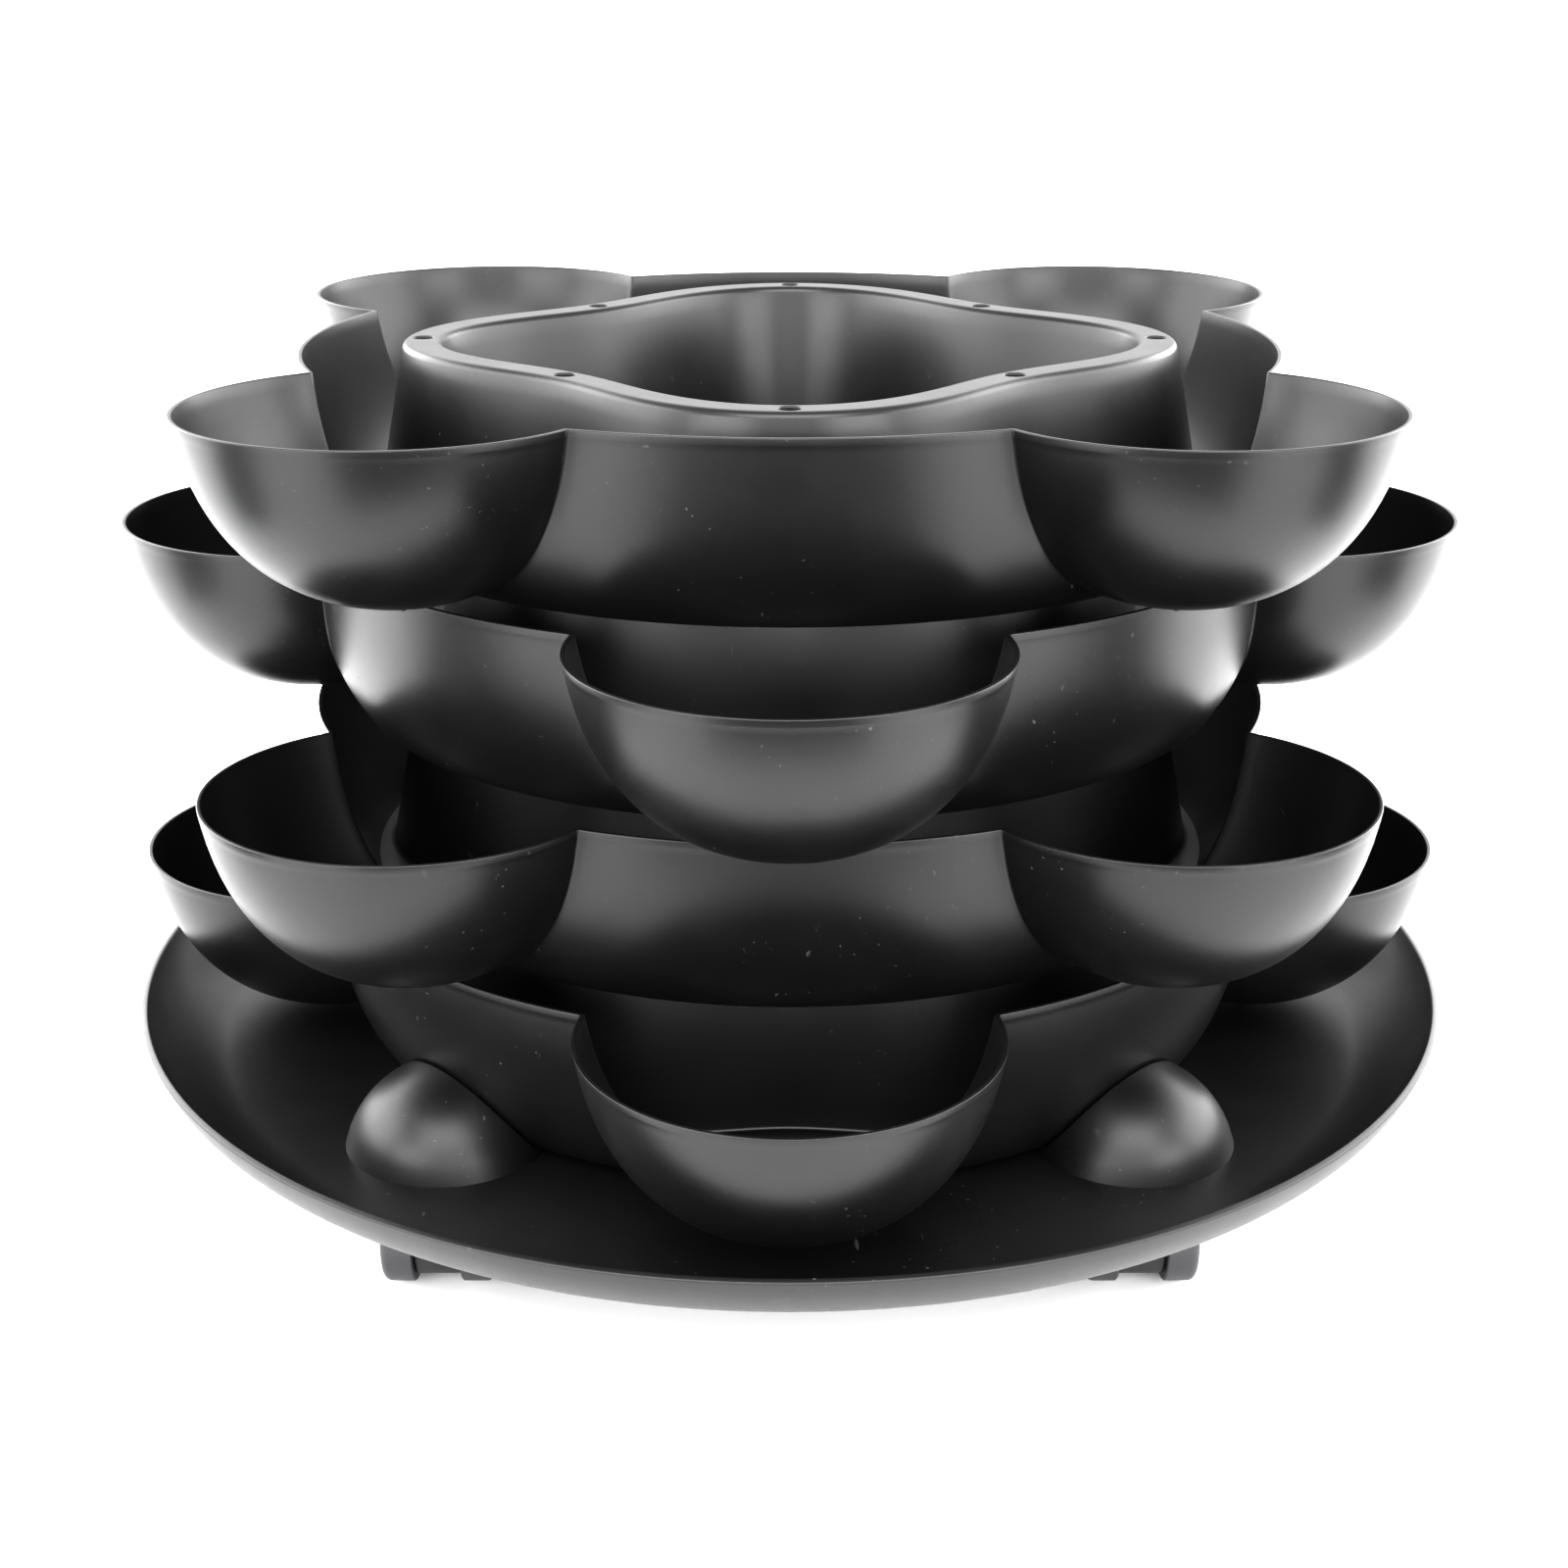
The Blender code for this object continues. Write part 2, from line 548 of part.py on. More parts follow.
def make_socket_mesh():
    """Plastic sleeve for the stem, with a flange under the saucer."""
    flange = SOCKET_RADIUS + SOCKET_FLANGE_EDGE
    flange_top = CASTER_HEIGHT - FIT
    profile = [(SOCKET_BORE, SOCKET_TOP), (SOCKET_RADIUS, SOCKET_TOP), (SOCKET_RADIUS, flange_top),
               (flange, flange_top), (flange, FLANGE_BOTTOM), (SOCKET_BORE, FLANGE_BOTTOM)]
    return baked(round_piece("socket_master", profile))


def make_axle_mesh():
    """Headed pin along its own Z, through the web and both wheels."""
    end = CASTER_WIDTH / 2 - WHEEL_DISH + FIT
    tip = end + AXLE_HEAD
    profile = [(0.0, tip), (AXLE_HEAD_RADIUS, tip), (AXLE_HEAD_RADIUS, end), (AXLE_RADIUS, end),
               (AXLE_RADIUS, -end), (AXLE_HEAD_RADIUS, -end), (AXLE_HEAD_RADIUS, -tip), (0.0, -tip)]
    return baked(round_piece("axle_master", profile))


def make_wheel_mesh():
    """Wheel about its own Z, its outer face up: rounded outer edge and a dished face."""
    outer = CASTER_WIDTH / 2
    bore = AXLE_RADIUS + FIT
    step = math.pi / 2 / WHEEL_EDGE_ROWS
    corner = [(WHEEL_RADIUS - WHEEL_EDGE * (1 - math.sin(step * i)),
               outer - WHEEL_EDGE * (1 - math.cos(step * i))) for i in range(WHEEL_EDGE_ROWS + 1)]
    rim = corner[0][0] - WHEEL_RIM + WHEEL_EDGE
    profile = [(bore, outer - WHEEL_DISH), (rim - WHEEL_DISH, outer - WHEEL_DISH), (rim, outer), *corner,
               (WHEEL_RADIUS, WHEEL_INNER), (bore, WHEEL_INNER)]
    return baked(lathe("wheel_master", profile, WHEEL_STEPS))


def make_casters():
    """Four casters with their wheels towards the front, each about an empty on its swivel axis."""
    steel = plastic("steel", (0.55, 0.55, 0.56), 0.3, 1.0)
    black = plastic("caster_plastic", (0.012, 0.012, 0.013), 0.5)
    tread = plastic("wheel_plastic", (0.030, 0.030, 0.032), 0.45)
    pale = plastic("socket_plastic", (0.05, 0.05, 0.052), 0.5)
    upright = {"hood": make_hood_mesh(), "stem": make_stem_mesh(), "grip_ring": make_grip_ring_mesh(),
               "socket": make_socket_mesh()}
    axle = make_axle_mesh()
    wheel = make_wheel_mesh()
    lying = {"axle": (axle, math.pi / 2), "wheel_right": (wheel, math.pi / 2),
             "wheel_left": (wheel, -math.pi / 2)}
    finishes = ((upright["hood"], black), (upright["stem"], steel), (upright["grip_ring"], steel),
                (upright["socket"], pale), (axle, steel), (wheel, tread))
    for mesh, material in finishes:
        mesh.materials.append(material)
    for number, angle in enumerate(dome_angles(), start=1):
        centre = bpy.data.objects.new(f"caster_{number}_swivel", None)
        PARTS.objects.link(centre)
        turned(centre, *polar(CASTER_DISTANCE, angle))
        for name, mesh in upright.items():
            add_object(f"caster_{number}_{name}", mesh, True).parent = centre
        for name, (mesh, turn) in lying.items():
            piece = add_object(f"caster_{number}_{name}", mesh, True)
            piece.parent = centre
            piece.location = (0.0, -CASTER_TRAIL, WHEEL_RADIUS)
            piece.rotation_euler = (0.0, turn, 0.0)


make_tiers()
make_saucer()
make_casters()
bpy.context.view_layer.update()
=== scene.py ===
"""Finished looks of the rolling stacking planter: four cup tiers, the domed saucer and its casters.

Every moulding is worked out in numpy as grids of points, in millimetres and in the tower's own frame,
and goes into its mesh in metres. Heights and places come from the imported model.
"""
import json
import math

import bmesh
import bpy
import numpy as np
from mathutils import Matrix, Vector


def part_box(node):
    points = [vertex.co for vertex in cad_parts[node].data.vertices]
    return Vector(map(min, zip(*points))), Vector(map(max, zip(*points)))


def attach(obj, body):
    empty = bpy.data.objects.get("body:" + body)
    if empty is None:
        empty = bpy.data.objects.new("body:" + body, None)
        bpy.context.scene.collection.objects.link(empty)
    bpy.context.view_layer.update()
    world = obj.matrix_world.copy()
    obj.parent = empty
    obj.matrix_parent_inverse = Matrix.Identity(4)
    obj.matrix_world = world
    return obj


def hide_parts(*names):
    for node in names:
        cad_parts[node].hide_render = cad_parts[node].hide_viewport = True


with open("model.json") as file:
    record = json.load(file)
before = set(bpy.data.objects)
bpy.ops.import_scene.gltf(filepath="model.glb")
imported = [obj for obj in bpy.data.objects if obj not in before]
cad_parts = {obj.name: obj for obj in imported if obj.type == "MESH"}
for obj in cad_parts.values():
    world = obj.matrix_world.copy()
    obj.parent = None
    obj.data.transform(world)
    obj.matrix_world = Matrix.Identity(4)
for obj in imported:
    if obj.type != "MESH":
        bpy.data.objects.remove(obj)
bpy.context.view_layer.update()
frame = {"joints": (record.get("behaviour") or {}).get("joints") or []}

MM = 0.001

# Tier moulding, with its rim at height 0 and its cups on the diagonals
RING_PROUD = 0.6
WALL = 2.0
RIM_WALL = 1.3              # the walls of the cups and panels thin out towards the rim
TIER_DEPTH = 57.57
CUP_DISTANCE = 161.2
CUP_RADIUS = 63.1
CUP_DEPTH = 58.17
CUP_DRAFT = math.radians(8.7)
CUP_SIDE_HANDLE = 50.4
CUP_BASE_HANDLE = 21.4
BOWL_RADIUS = 160.3
BOWL_FOOT = 144.5
BOWL_DRAFT = math.radians(4.3)
BOWL_FOOT_SLOPE = math.radians(48)
BOWL_RIM_HANDLE = 0.42      # of the depth, down from the rim
BOWL_FOOT_HANDLE = 0.24     # of the depth, up from the foot
LIP_ROUND = 0.35            # rounding of both edges of the rim
LIP_BAND = 0.06             # the rim's band stands this far out of the side
LIP_BAND_DEPTH = 2.3
VALLEY_ROUND = 0.8          # between a cup and a panel, outside
RIDGE_ROUND = 1.1           # the same crease, inside
CUP_ROWS = 30
CUP_COLUMNS = 84
PANEL_COLUMNS = 96
CREASE_COLUMNS = 5
CREASE_RUN_OUT = 9.0        # a crease comes to its full rounding over this height
DENSE = 1500                # points of a curve that others are read from

RING_LOBE = 121.5
RING_WAIST = 97.0
RING_HALF = 6.4
RING_DRAFT = math.radians(10.5)
RING_ROUND = 2.4
FOOT_ROUND = 1.6
HOLE_RADIUS = 3.3
HOLE_ROUND = 0.45
PEG_RADIUS = 2.8
PEG_LENGTH = 4.6
DRAIN_RADIUS = 3.0
DRAIN_DISTANCE = 138.0
LUG_OUT = 161.7
LUG_HALF = (0.9, 2.0)
LUG_DROP = 2.75
LUG_ROUND = 0.4

# Saucer, with the floor at height 0
PLATE = 43.3
UNDER = 41.0
SEAT = 46.6
SEAT_IN = 89.2
SEAT_OUT = 129.3
SAUCER_WALL = 2.3
CORNER_DISTANCE = 197.66
CORNER_HEIGHT = 69.44
CORNER_OUTER = 28.44
CORNER_SWEEP = math.radians(74)
DOME_DISTANCE = 153.0
DOME_BASE = 32.4
DOME_SPHERE = 33.3
DOME_CENTRE = 35.6
BOSS_DISTANCE = 156.0
BOSS_RADIUS = 7.4
BORE_RADIUS = 5.5
BORE_TOP = 51.5
BOSS_TOP = 66.6
SEAT_SLOPE = 1.65           # width of the seat's sloping sides
SEAT_RISE = 3.3
SEAT_ROUND = 0.8
SAUCER_LIP_ROUND = 0.6
SAUCER_COLUMNS = 288

# Caster about its swivel axis, with the floor at height 0
TRAIL = 7.0
WHEEL_RADIUS = 17.0
WHEEL_OUT = 17.35
WHEEL_IN = 7.45
TREAD_ROUND = 2.6
FACE_DEPTH = 2.0            # the wheel's dished face lies this deep
AXLE_BORE = 2.8
GUARD_OUT = 19.4
GUARD_IN = 17.9
CUTTER_END = 19.5           # cutters reach past the guard's sides
WEB_HALF = 7.15
WEB_RADIUS = 14.7
HEAD_RADIUS = 7.0
HEAD_FOOT = 30.2
HEAD_TOP = 39.2
STEM_BORE = 3.8
STEM_BORE_FOOT = 31.9
STEM_RADIUS = 3.5
STEM_FOOT = 32.2
STEM_TOP = 50.9
GROOVE_RADIUS = 2.6
SPINDLE_HEAD = 15.65
SPINDLE_TIP = 16.75
SPINDLE_DOME = 9.5          # radius of the domed heads' sphere


def bezier(corners, count):
    """Points of a cubic curve: the four corners weighted by the Bernstein polynomials."""
    t = np.linspace(0, 1, count)[:, None]
    a, b, c, d = (np.array(corner, float) for corner in corners)
    return (1 - t) ** 3 * a + 3 * t * (1 - t) ** 2 * b + 3 * t * t * (1 - t) * c + t ** 3 * d


def arc(centre, radius, start, end, count):
    """Points of a circle's arc in the (radius, height) plane, angles from the radius axis."""
    a = np.linspace(start, end, count)
    return np.stack([centre[0] + radius * np.cos(a), centre[1] + radius * np.sin(a)], 1)


def spin(profile, columns, at=(0.0, 0.0)):
    """Carry (radius, height) points round an upright axis: x = r cos a, y = r sin a."""
    a = 2 * math.pi * np.arange(columns) / columns
    r, z = np.array(profile, float).T
    return np.stack([at[0] + r[:, None] * np.cos(a), at[1] + r[:, None] * np.sin(a), z[:, None] + 0 * a], 2)


def quads(rows, columns, first, wrap_columns, wrap_rows):
    """Corner numbers of the faces between neighbouring rows and columns of a grid."""
    i = np.arange(rows if wrap_rows else rows - 1)[:, None]
    j = np.arange(columns if wrap_columns else columns - 1)[None, :]
    i2 = (i + 1) % rows
    j2 = (j + 1) % columns
    corners = (i * columns + j, i * columns + j2, i2 * columns + j2, i2 * columns + j)
    return first + np.stack(np.broadcast_arrays(*corners), -1).reshape(-1, 4)


class Sheets:
    """A growing set of point grids that are welded into one mesh."""

    def __init__(self):
        self.points = []
        self.faces = []
        self.count = 0

    def add(self, grid, wrap_columns=False, wrap_rows=False):
        rows, columns = grid.shape[:2]
        self.points.append(grid.reshape(-1, 3))
        self.faces.append(quads(rows, columns, self.count, wrap_columns, wrap_rows))
        self.count += rows * columns
        return self

    def mesh(self, name, weld=0.0008):
        """The welded mesh in metres with its faces outwards."""
        made = bpy.data.meshes.new(name)
        points = np.concatenate(self.points) * MM
        made.from_pydata(points.tolist(), [], np.concatenate(self.faces).tolist())
        shape = bmesh.new()
        shape.from_mesh(made)
        bmesh.ops.remove_doubles(shape, verts=shape.verts, dist=weld * MM)
        bmesh.ops.dissolve_degenerate(shape, edges=shape.edges, dist=weld * MM / 4)
        bmesh.ops.recalc_face_normals(shape, faces=shape.faces)
        shape.to_mesh(made)
        shape.free()
        return made


def lathe(name, profile, columns, at=(0.0, 0.0), closed=False):
    """Mesh of a turned shape: its profile starts and ends on the axis, or is a closed ring."""
    return Sheets().add(spin(profile, columns, at), True, closed).mesh(name)


def put(name, mesh):
    """An object for a mesh, at the origin."""
    obj = bpy.data.objects.new(name, mesh)
    bpy.context.scene.collection.objects.link(obj)
    return obj


def carved(mesh, *steps):
    """A closed mesh with other closed meshes joined to it or cut from it, in the order given."""
    obj = put("work", mesh)
    for operation, other in steps:
        tool = put("tool", other)
        step = obj.modifiers.new("carve", "BOOLEAN")
        step.operation = operation
        step.solver = "EXACT"
        step.object = tool
        graph = bpy.context.evaluated_depsgraph_get()
        made = bpy.data.meshes.new_from_object(obj.evaluated_get(graph))
        obj.modifiers.clear()
        old = obj.data
        obj.data = made
        bpy.data.meshes.remove(old)
        bpy.data.objects.remove(tool)
    mesh = obj.data
    bpy.data.objects.remove(obj)
    return mesh


def shade(mesh, angle=38):
    """Smooth, with edges sharper than an angle left crisp."""
    mesh.shade_smooth()
    mesh.set_sharp_from_angle(angle=math.radians(angle))
    return mesh


def places(mesh):
    """X, Y and Z of a mesh's points, in metres."""
    points = np.empty(len(mesh.vertices) * 3)
    mesh.vertices.foreach_get("co", points)
    return points.reshape(-1, 3).T


def placed(mesh, x, y, z):
    """A copy of a mesh with its points at other places."""
    made = mesh.copy()
    made.vertices.foreach_set("co", np.stack([x, y, z], 1).ravel())
    made.update()
    return made


def moved(mesh, x=0.0, y=0.0, z=0.0, turn=0.0):
    """A copy of a mesh, turned about the tower's axis and shifted by millimetres."""
    px, py, pz = places(mesh)
    c, s = math.cos(turn), math.sin(turn)
    return placed(mesh, c * px - s * py + x * MM, s * px + c * py + y * MM, pz + z * MM)


def merged(name, meshes):
    """Several meshes as one."""
    shape = bmesh.new()
    for mesh in meshes:
        shape.from_mesh(mesh)
    made = bpy.data.meshes.new(name)
    shape.to_mesh(made)
    shape.free()
    return made


def polar(distance, angle):
    """X and Y of a point at a distance and a direction."""
    return distance * math.cos(angle), distance * math.sin(angle)


# ---------------------------------------------------------------- tiers

def cup_curve(radius, depth, count=DENSE):
    """Rim to lowest point of a cup."""
    side = (radius - CUP_SIDE_HANDLE * math.sin(CUP_DRAFT), -CUP_SIDE_HANDLE * math.cos(CUP_DRAFT))
    return bezier([(radius, 0), side, (CUP_BASE_HANDLE, -depth), (0, -depth)], count)


def bowl_curve(rim_grow, foot_grow, depth, count=DENSE):
    """Rim to foot of the bowl, grown outwards by a wall or a gap."""
    rim = BOWL_RADIUS + rim_grow
    foot = BOWL_FOOT + foot_grow
    first = (rim - BOWL_RIM_HANDLE * depth * math.tan(BOWL_DRAFT), -BOWL_RIM_HANDLE * depth)
    second = (foot + BOWL_FOOT_HANDLE * depth / math.tan(BOWL_FOOT_SLOPE), -(1 - BOWL_FOOT_HANDLE) * depth)
    return bezier([(rim, 0), first, second, (foot, -depth)], count)


def skin_rows(rim_grow, foot_grow, cup_depth, bowl_depth, rounding):
    """Rows of one skin from the rim down: height, bowl radius, cup radius and crease rounding.

    The rows follow the cup's curve, with one more where the cup's and the bowl's circles part, below
    which the crease is gone; above that the rounding grows with the height up to its full size."""
    cup = cup_curve(CUP_RADIUS + rim_grow, cup_depth)
    bowl = bowl_curve(rim_grow, foot_grow, bowl_depth)
    part = np.argmax(np.interp(-cup[:, 1], -bowl[:, 1], bowl[:, 0]) + cup[:, 0] < CUP_DISTANCE)
    even = np.linspace(0.02, 1, CUP_ROWS) ** 0.9 * (DENSE - 1)
    spots = np.unique(np.concatenate([even, [part]]).astype(int))
    lowest = min(-cup_depth, -bowl_depth)
    z = np.append(cup[spots, 1], lowest) if lowest < -cup_depth else cup[spots, 1]
    z = np.unique(np.append(z, -bowl_depth))[::-1]
    rb = np.interp(-z, -bowl[:, 1], bowl[:, 0])
    rc = np.interp(-z, -cup[:, 1], cup[:, 0])
    rc[z <= -cup_depth] = 0
    parted = cup[part, 1]
    k = np.argmin(abs(z - parted))
    rc[k] = CUP_DISTANCE - rb[k]
    f = rounding * np.clip((z - z[k]) / CREASE_RUN_OUT, 0, 1) ** 0.7
    f[z <= z[k]] = 0
    return np.stack([z, rb, rc, f], 1)


def lip_rows():
    """The rounded rim, outside to inside: (height, shift from the outer radius, crease rounding)."""
    a = np.linspace(0, math.pi / 2, 5)
    out = LIP_BAND
    rows = [(-LIP_BAND_DEPTH - 0.35, 0.0), (-LIP_BAND_DEPTH - 0.05, out * 0.9), (-LIP_BAND_DEPTH + 0.25, out)]
    rows += [(-LIP_ROUND + LIP_ROUND * math.sin(t), out - LIP_ROUND * (1 - math.cos(t))) for t in a]
    rows += [(-LIP_ROUND + LIP_ROUND * math.cos(t), -RIM_WALL + LIP_ROUND * (1 - math.sin(t))) for t in a]
    return np.array(rows)


def wall_rows():
    """The whole wall as rows from its foot outside, up over the rim and down to its foot inside."""
    inner_depth = TIER_DEPTH - WALL
    outer = skin_rows(0, 0, CUP_DEPTH, TIER_DEPTH, VALLEY_ROUND)
    inner = skin_rows(-RIM_WALL, -WALL, inner_depth, inner_depth, RIDGE_ROUND)
    outer = outer[outer[:, 0] < -LIP_BAND_DEPTH - 0.6][::-1]
    inner = inner[inner[:, 0] < -LIP_ROUND - 0.5]
    lip = lip_rows()
    bowl = bowl_curve(0, 0, TIER_DEPTH)
    cup = cup_curve(CUP_RADIUS, CUP_DEPTH)
    rb = np.interp(-lip[:, 0], -bowl[:, 1], bowl[:, 0]) + lip[:, 1]
    rc = np.interp(-lip[:, 0], -cup[:, 1], cup[:, 0]) + lip[:, 1]
    f = np.linspace(VALLEY_ROUND, RIDGE_ROUND, len(lip))
    table = np.concatenate([outer, np.stack([lip[:, 0], rb, rc, f], 1), inner])
    z_in = np.maximum(inner[:, 0], -inner_depth)
    z_cup = np.concatenate([np.maximum(outer[:, 0], -CUP_DEPTH), lip[:, 0], z_in])
    z_bowl = np.concatenate([np.maximum(outer[:, 0], -TIER_DEPTH), lip[:, 0], z_in])
    return table[:, 1], table[:, 2], table[:, 3], z_cup, z_bowl


def add_walls(sheets):
    """Cups, panels and the rounded creases between them.

    At each height the bowl's circle (radius b about the axis) and a cup's circle (radius c about a point
    at distance d) are joined by a small circle of radius f outside both. Its centre is b + f from the
    axis and c + f from the cup, so the law of cosines gives where the cup's arc and the panel's arc
    end; where the circles don't meet, the arcs close on themselves."""
    b, c, f, z_cup, z_bowl = wall_rows()
    d = CUP_DISTANCE
    bf, cf = b + f, np.maximum(c + f, 1e-6)
    panel_end = np.arccos(np.clip((d * d + bf * bf - cf * cf) / (2 * d * bf), -1, 1))
    cup_end = np.arccos(np.clip((bf * bf - d * d - cf * cf) / (2 * d * cf), -1, 1))
    met = f > 0
    u = np.linspace(-1, 1, CUP_COLUMNS)
    v = np.linspace(0, 1, PANEL_COLUMNS + 1)
    w = np.linspace(0, 1, CREASE_COLUMNS)
    for turn in math.pi / 4 + np.arange(4) * math.pi / 2:
        a = turn + cup_end[:, None] * u
        x = d * math.cos(turn) + c[:, None] * np.cos(a)
        y = d * math.sin(turn) + c[:, None] * np.sin(a)
        sheets.add(np.stack([x, y, z_cup[:, None] + 0 * a], 2))
        a = turn + panel_end[:, None] + v * (math.pi / 2 - 2 * panel_end[:, None])
        sheets.add(np.stack([b[:, None] * np.cos(a), b[:, None] * np.sin(a), z_bowl[:, None] + 0 * a], 2))
        for side in (-1, 1):
            qx, qy = bf * np.cos(panel_end), side * bf * np.sin(panel_end)
            start = np.arctan2(-qy, -qx)
            end = np.arctan2(-qy, d - qx)
            sweep = (end - start + math.pi) % (2 * math.pi) - math.pi
            a = start[:, None] + sweep[:, None] * w
            x = qx[:, None] + f[:, None] * np.cos(a)
            y = qy[:, None] + f[:, None] * np.sin(a)
            z = z_bowl[:, None] + (z_cup - z_bowl)[:, None] * w
            cs, sn = math.cos(turn), math.sin(turn)
            strip = np.stack([cs * x - sn * y, sn * x + cs * y, z], 2)
            for run in np.split(strip, np.flatnonzero(np.diff(met)) + 1):
                if len(run) > 1 and np.ptp(run[:, :, :2], axis=1).max() > 0:
                    sheets.add(run)


def ring_rows():
    """Rows of the ring and both floors, from the trough's edge over the ring to the core's drain, and back
    underneath: offset from the ring's line, height, and share and radius of a circle that it blends to."""
    lean = math.tan(RING_DRAFT)
    floor = WALL - TIER_DEPTH
    foot = RING_HALF + (RING_PROUD - floor) * lean
    tilt = math.pi / 2 - RING_DRAFT
    curl = arc((RING_HALF - RING_ROUND * (1 - lean / 2), RING_PROUD - RING_ROUND), RING_ROUND, RING_DRAFT,
               math.pi / 2, 6)
    hollow = arc((foot + FOOT_ROUND * 0.85, floor + FOOT_ROUND), FOOT_ROUND, 1.5 * math.pi,
                 math.pi + RING_DRAFT, 5)
    side = np.linspace(hollow[-1], curl[0], 12)[1:-1]
    over = np.concatenate([hollow, side, curl])
    across = np.linspace(curl[-1], (-curl[-1][0], curl[-1][1]), 7)[1:-1]
    top = np.concatenate([over, across, over[::-1] * (-1, 1)])
    ceiling = RING_PROUD - WALL
    narrow = RING_HALF - WALL
    wide = narrow + (ceiling + TIER_DEPTH) * lean
    under_side = np.linspace((-wide, -TIER_DEPTH), (-narrow, ceiling), 10)
    under = np.concatenate([under_side, [(0, ceiling)], under_side[::-1] * (-1, 1)])

    def flat(start, radius, height, shares):
        return [(start, height, share, radius) for share in shares]

    rows = flat(top[0][0], BOWL_FOOT - WALL, floor, np.linspace(1, 0, 9)[:-1])
    rows += [(o, z, 0, 0) for o, z in top]
    rows += flat(top[-1][0], DRAIN_RADIUS, floor, np.linspace(0, 1, 14)[1:])
    rows += flat(under[0][0], DRAIN_RADIUS, -TIER_DEPTH, np.linspace(1, 0, 14)[:-1])
    rows += [(o, z, 0, 0) for o, z in under]
    rows += flat(under[-1][0], BOWL_FOOT, -TIER_DEPTH, np.linspace(0, 1, 9)[1:])
    return np.array(rows, float)


def add_ring(sheets):
    """The four-lobed ring: its line is r = mean + wave cos 4a, and each row stands off it along the line's
    normal, or blends to a circle at the same angle."""
    a = 2 * math.pi * np.arange(4 * PANEL_COLUMNS) / (4 * PANEL_COLUMNS)
    mean, wave = (RING_LOBE + RING_WAIST) / 2, (RING_LOBE - RING_WAIST) / 2
    r = mean + wave * np.cos(4 * a)
    slope = -4 * wave * np.sin(4 * a)
    along = np.stack([np.cos(a), np.sin(a)], 1)
    across = np.stack([-along[:, 1], along[:, 0]], 1)
    normal = r[:, None] * along - slope[:, None] * across
    normal /= np.linalg.norm(normal, axis=1)[:, None]
    offset, z, share, radius = ring_rows().T[:, :, None]
    line = (r[:, None] * along)[None]
    plan = (1 - share[..., None]) * (line + offset[..., None] * normal[None]) \
        + (share * radius)[..., None] * along[None]
    sheets.add(np.concatenate([plan, np.broadcast_to(z[..., None], (*plan.shape[:2], 1))], 2), True)


def rounded_bar(half_x, half_y, top, bottom, rounding, at, turn):
    """A small closed bar with a rounded lower end; its section is |x/a|^4 + |y/b|^4 = 1."""
    a = 2 * math.pi * np.arange(28) / 28
    cx = np.sign(np.cos(a)) * abs(np.cos(a)) ** 0.5
    cy = np.sign(np.sin(a)) * abs(np.sin(a)) ** 0.5
    t = np.linspace(0, math.pi / 2, 5)
    shrink = np.concatenate([[-1, 0, 0], rounding * (1 - np.cos(t))[1:], [-1]])
    z = np.concatenate([[top, top, bottom + rounding], bottom + rounding * (1 - np.sin(t))[1:], [bottom]])
    ex = np.where(shrink < 0, 0, half_x - shrink)
    ey = np.where(shrink < 0, 0, half_y - shrink)
    x, y = ex[:, None] * cx, ey[:, None] * cy
    c, s = math.cos(turn), math.sin(turn)
    return np.stack([at[0] + c * x - s * y, at[1] + s * x + c * y, z[:, None] + 0 * x], 2)


def flared_hole(radius, top, bottom, at, rounding=HOLE_ROUND):
    """Cutter for a round hole whose upper edge is rounded."""
    t = np.linspace(0, math.pi / 2, 5)
    edge = [(radius + rounding * (1 - math.cos(k)), top - rounding * (1 - math.sin(k))) for k in t]
    wide = radius + rounding
    profile = [(0, bottom), (radius, bottom), *edge, (wide, top + 2), (0, top + 2)]
    return lathe("hole", profile, 40, at)


def peg(at):
    """A locating peg with a rounded tip."""
    tip = -TIER_DEPTH - PEG_LENGTH
    end = arc((PEG_RADIUS - 0.7, tip + 0.7), 0.7, -math.pi / 2, 0, 5)
    profile = [(0, tip), *end, (PEG_RADIUS, -TIER_DEPTH + 1.0), (0, -TIER_DEPTH + 1.0)]
    return lathe("peg", profile, 32, at)


def tier_moulding():
    """One tier as a single closed mesh."""
    sheets = Sheets()
    add_walls(sheets)
    add_ring(sheets)
    eighths = np.arange(8) * math.pi / 4
    ring_at = [polar(RING_WAIST if i % 2 else RING_LOBE, a) for i, a in enumerate(eighths)]
    peg_at = [polar(RING_LOBE if i % 2 else RING_WAIST, a) for i, a in enumerate(eighths)]
    drain_at = [polar(DRAIN_DISTANCE, a) for a in eighths[1::2]]
    holes = [flared_hole(HOLE_RADIUS, RING_PROUD, RING_PROUD - WALL - 2, at) for at in ring_at]
    holes += [flared_hole(DRAIN_RADIUS, WALL - TIER_DEPTH, -TIER_DEPTH - 2, at) for at in drain_at]
    added = [peg(at) for at in peg_at]
    for a in eighths[1::2]:
        top, bottom = WALL / 2 - CUP_DEPTH, -CUP_DEPTH - LUG_DROP
        lug = rounded_bar(*LUG_HALF, top, bottom, LUG_ROUND, polar(LUG_OUT, a), a)
        added.append(Sheets().add(lug, True).mesh("lug"))
    return shade(carved(sheets.mesh("tier"), ("DIFFERENCE", merged("holes", holes)),
                        ("UNION", merged("added", added))))


# ---------------------------------------------------------------- saucer

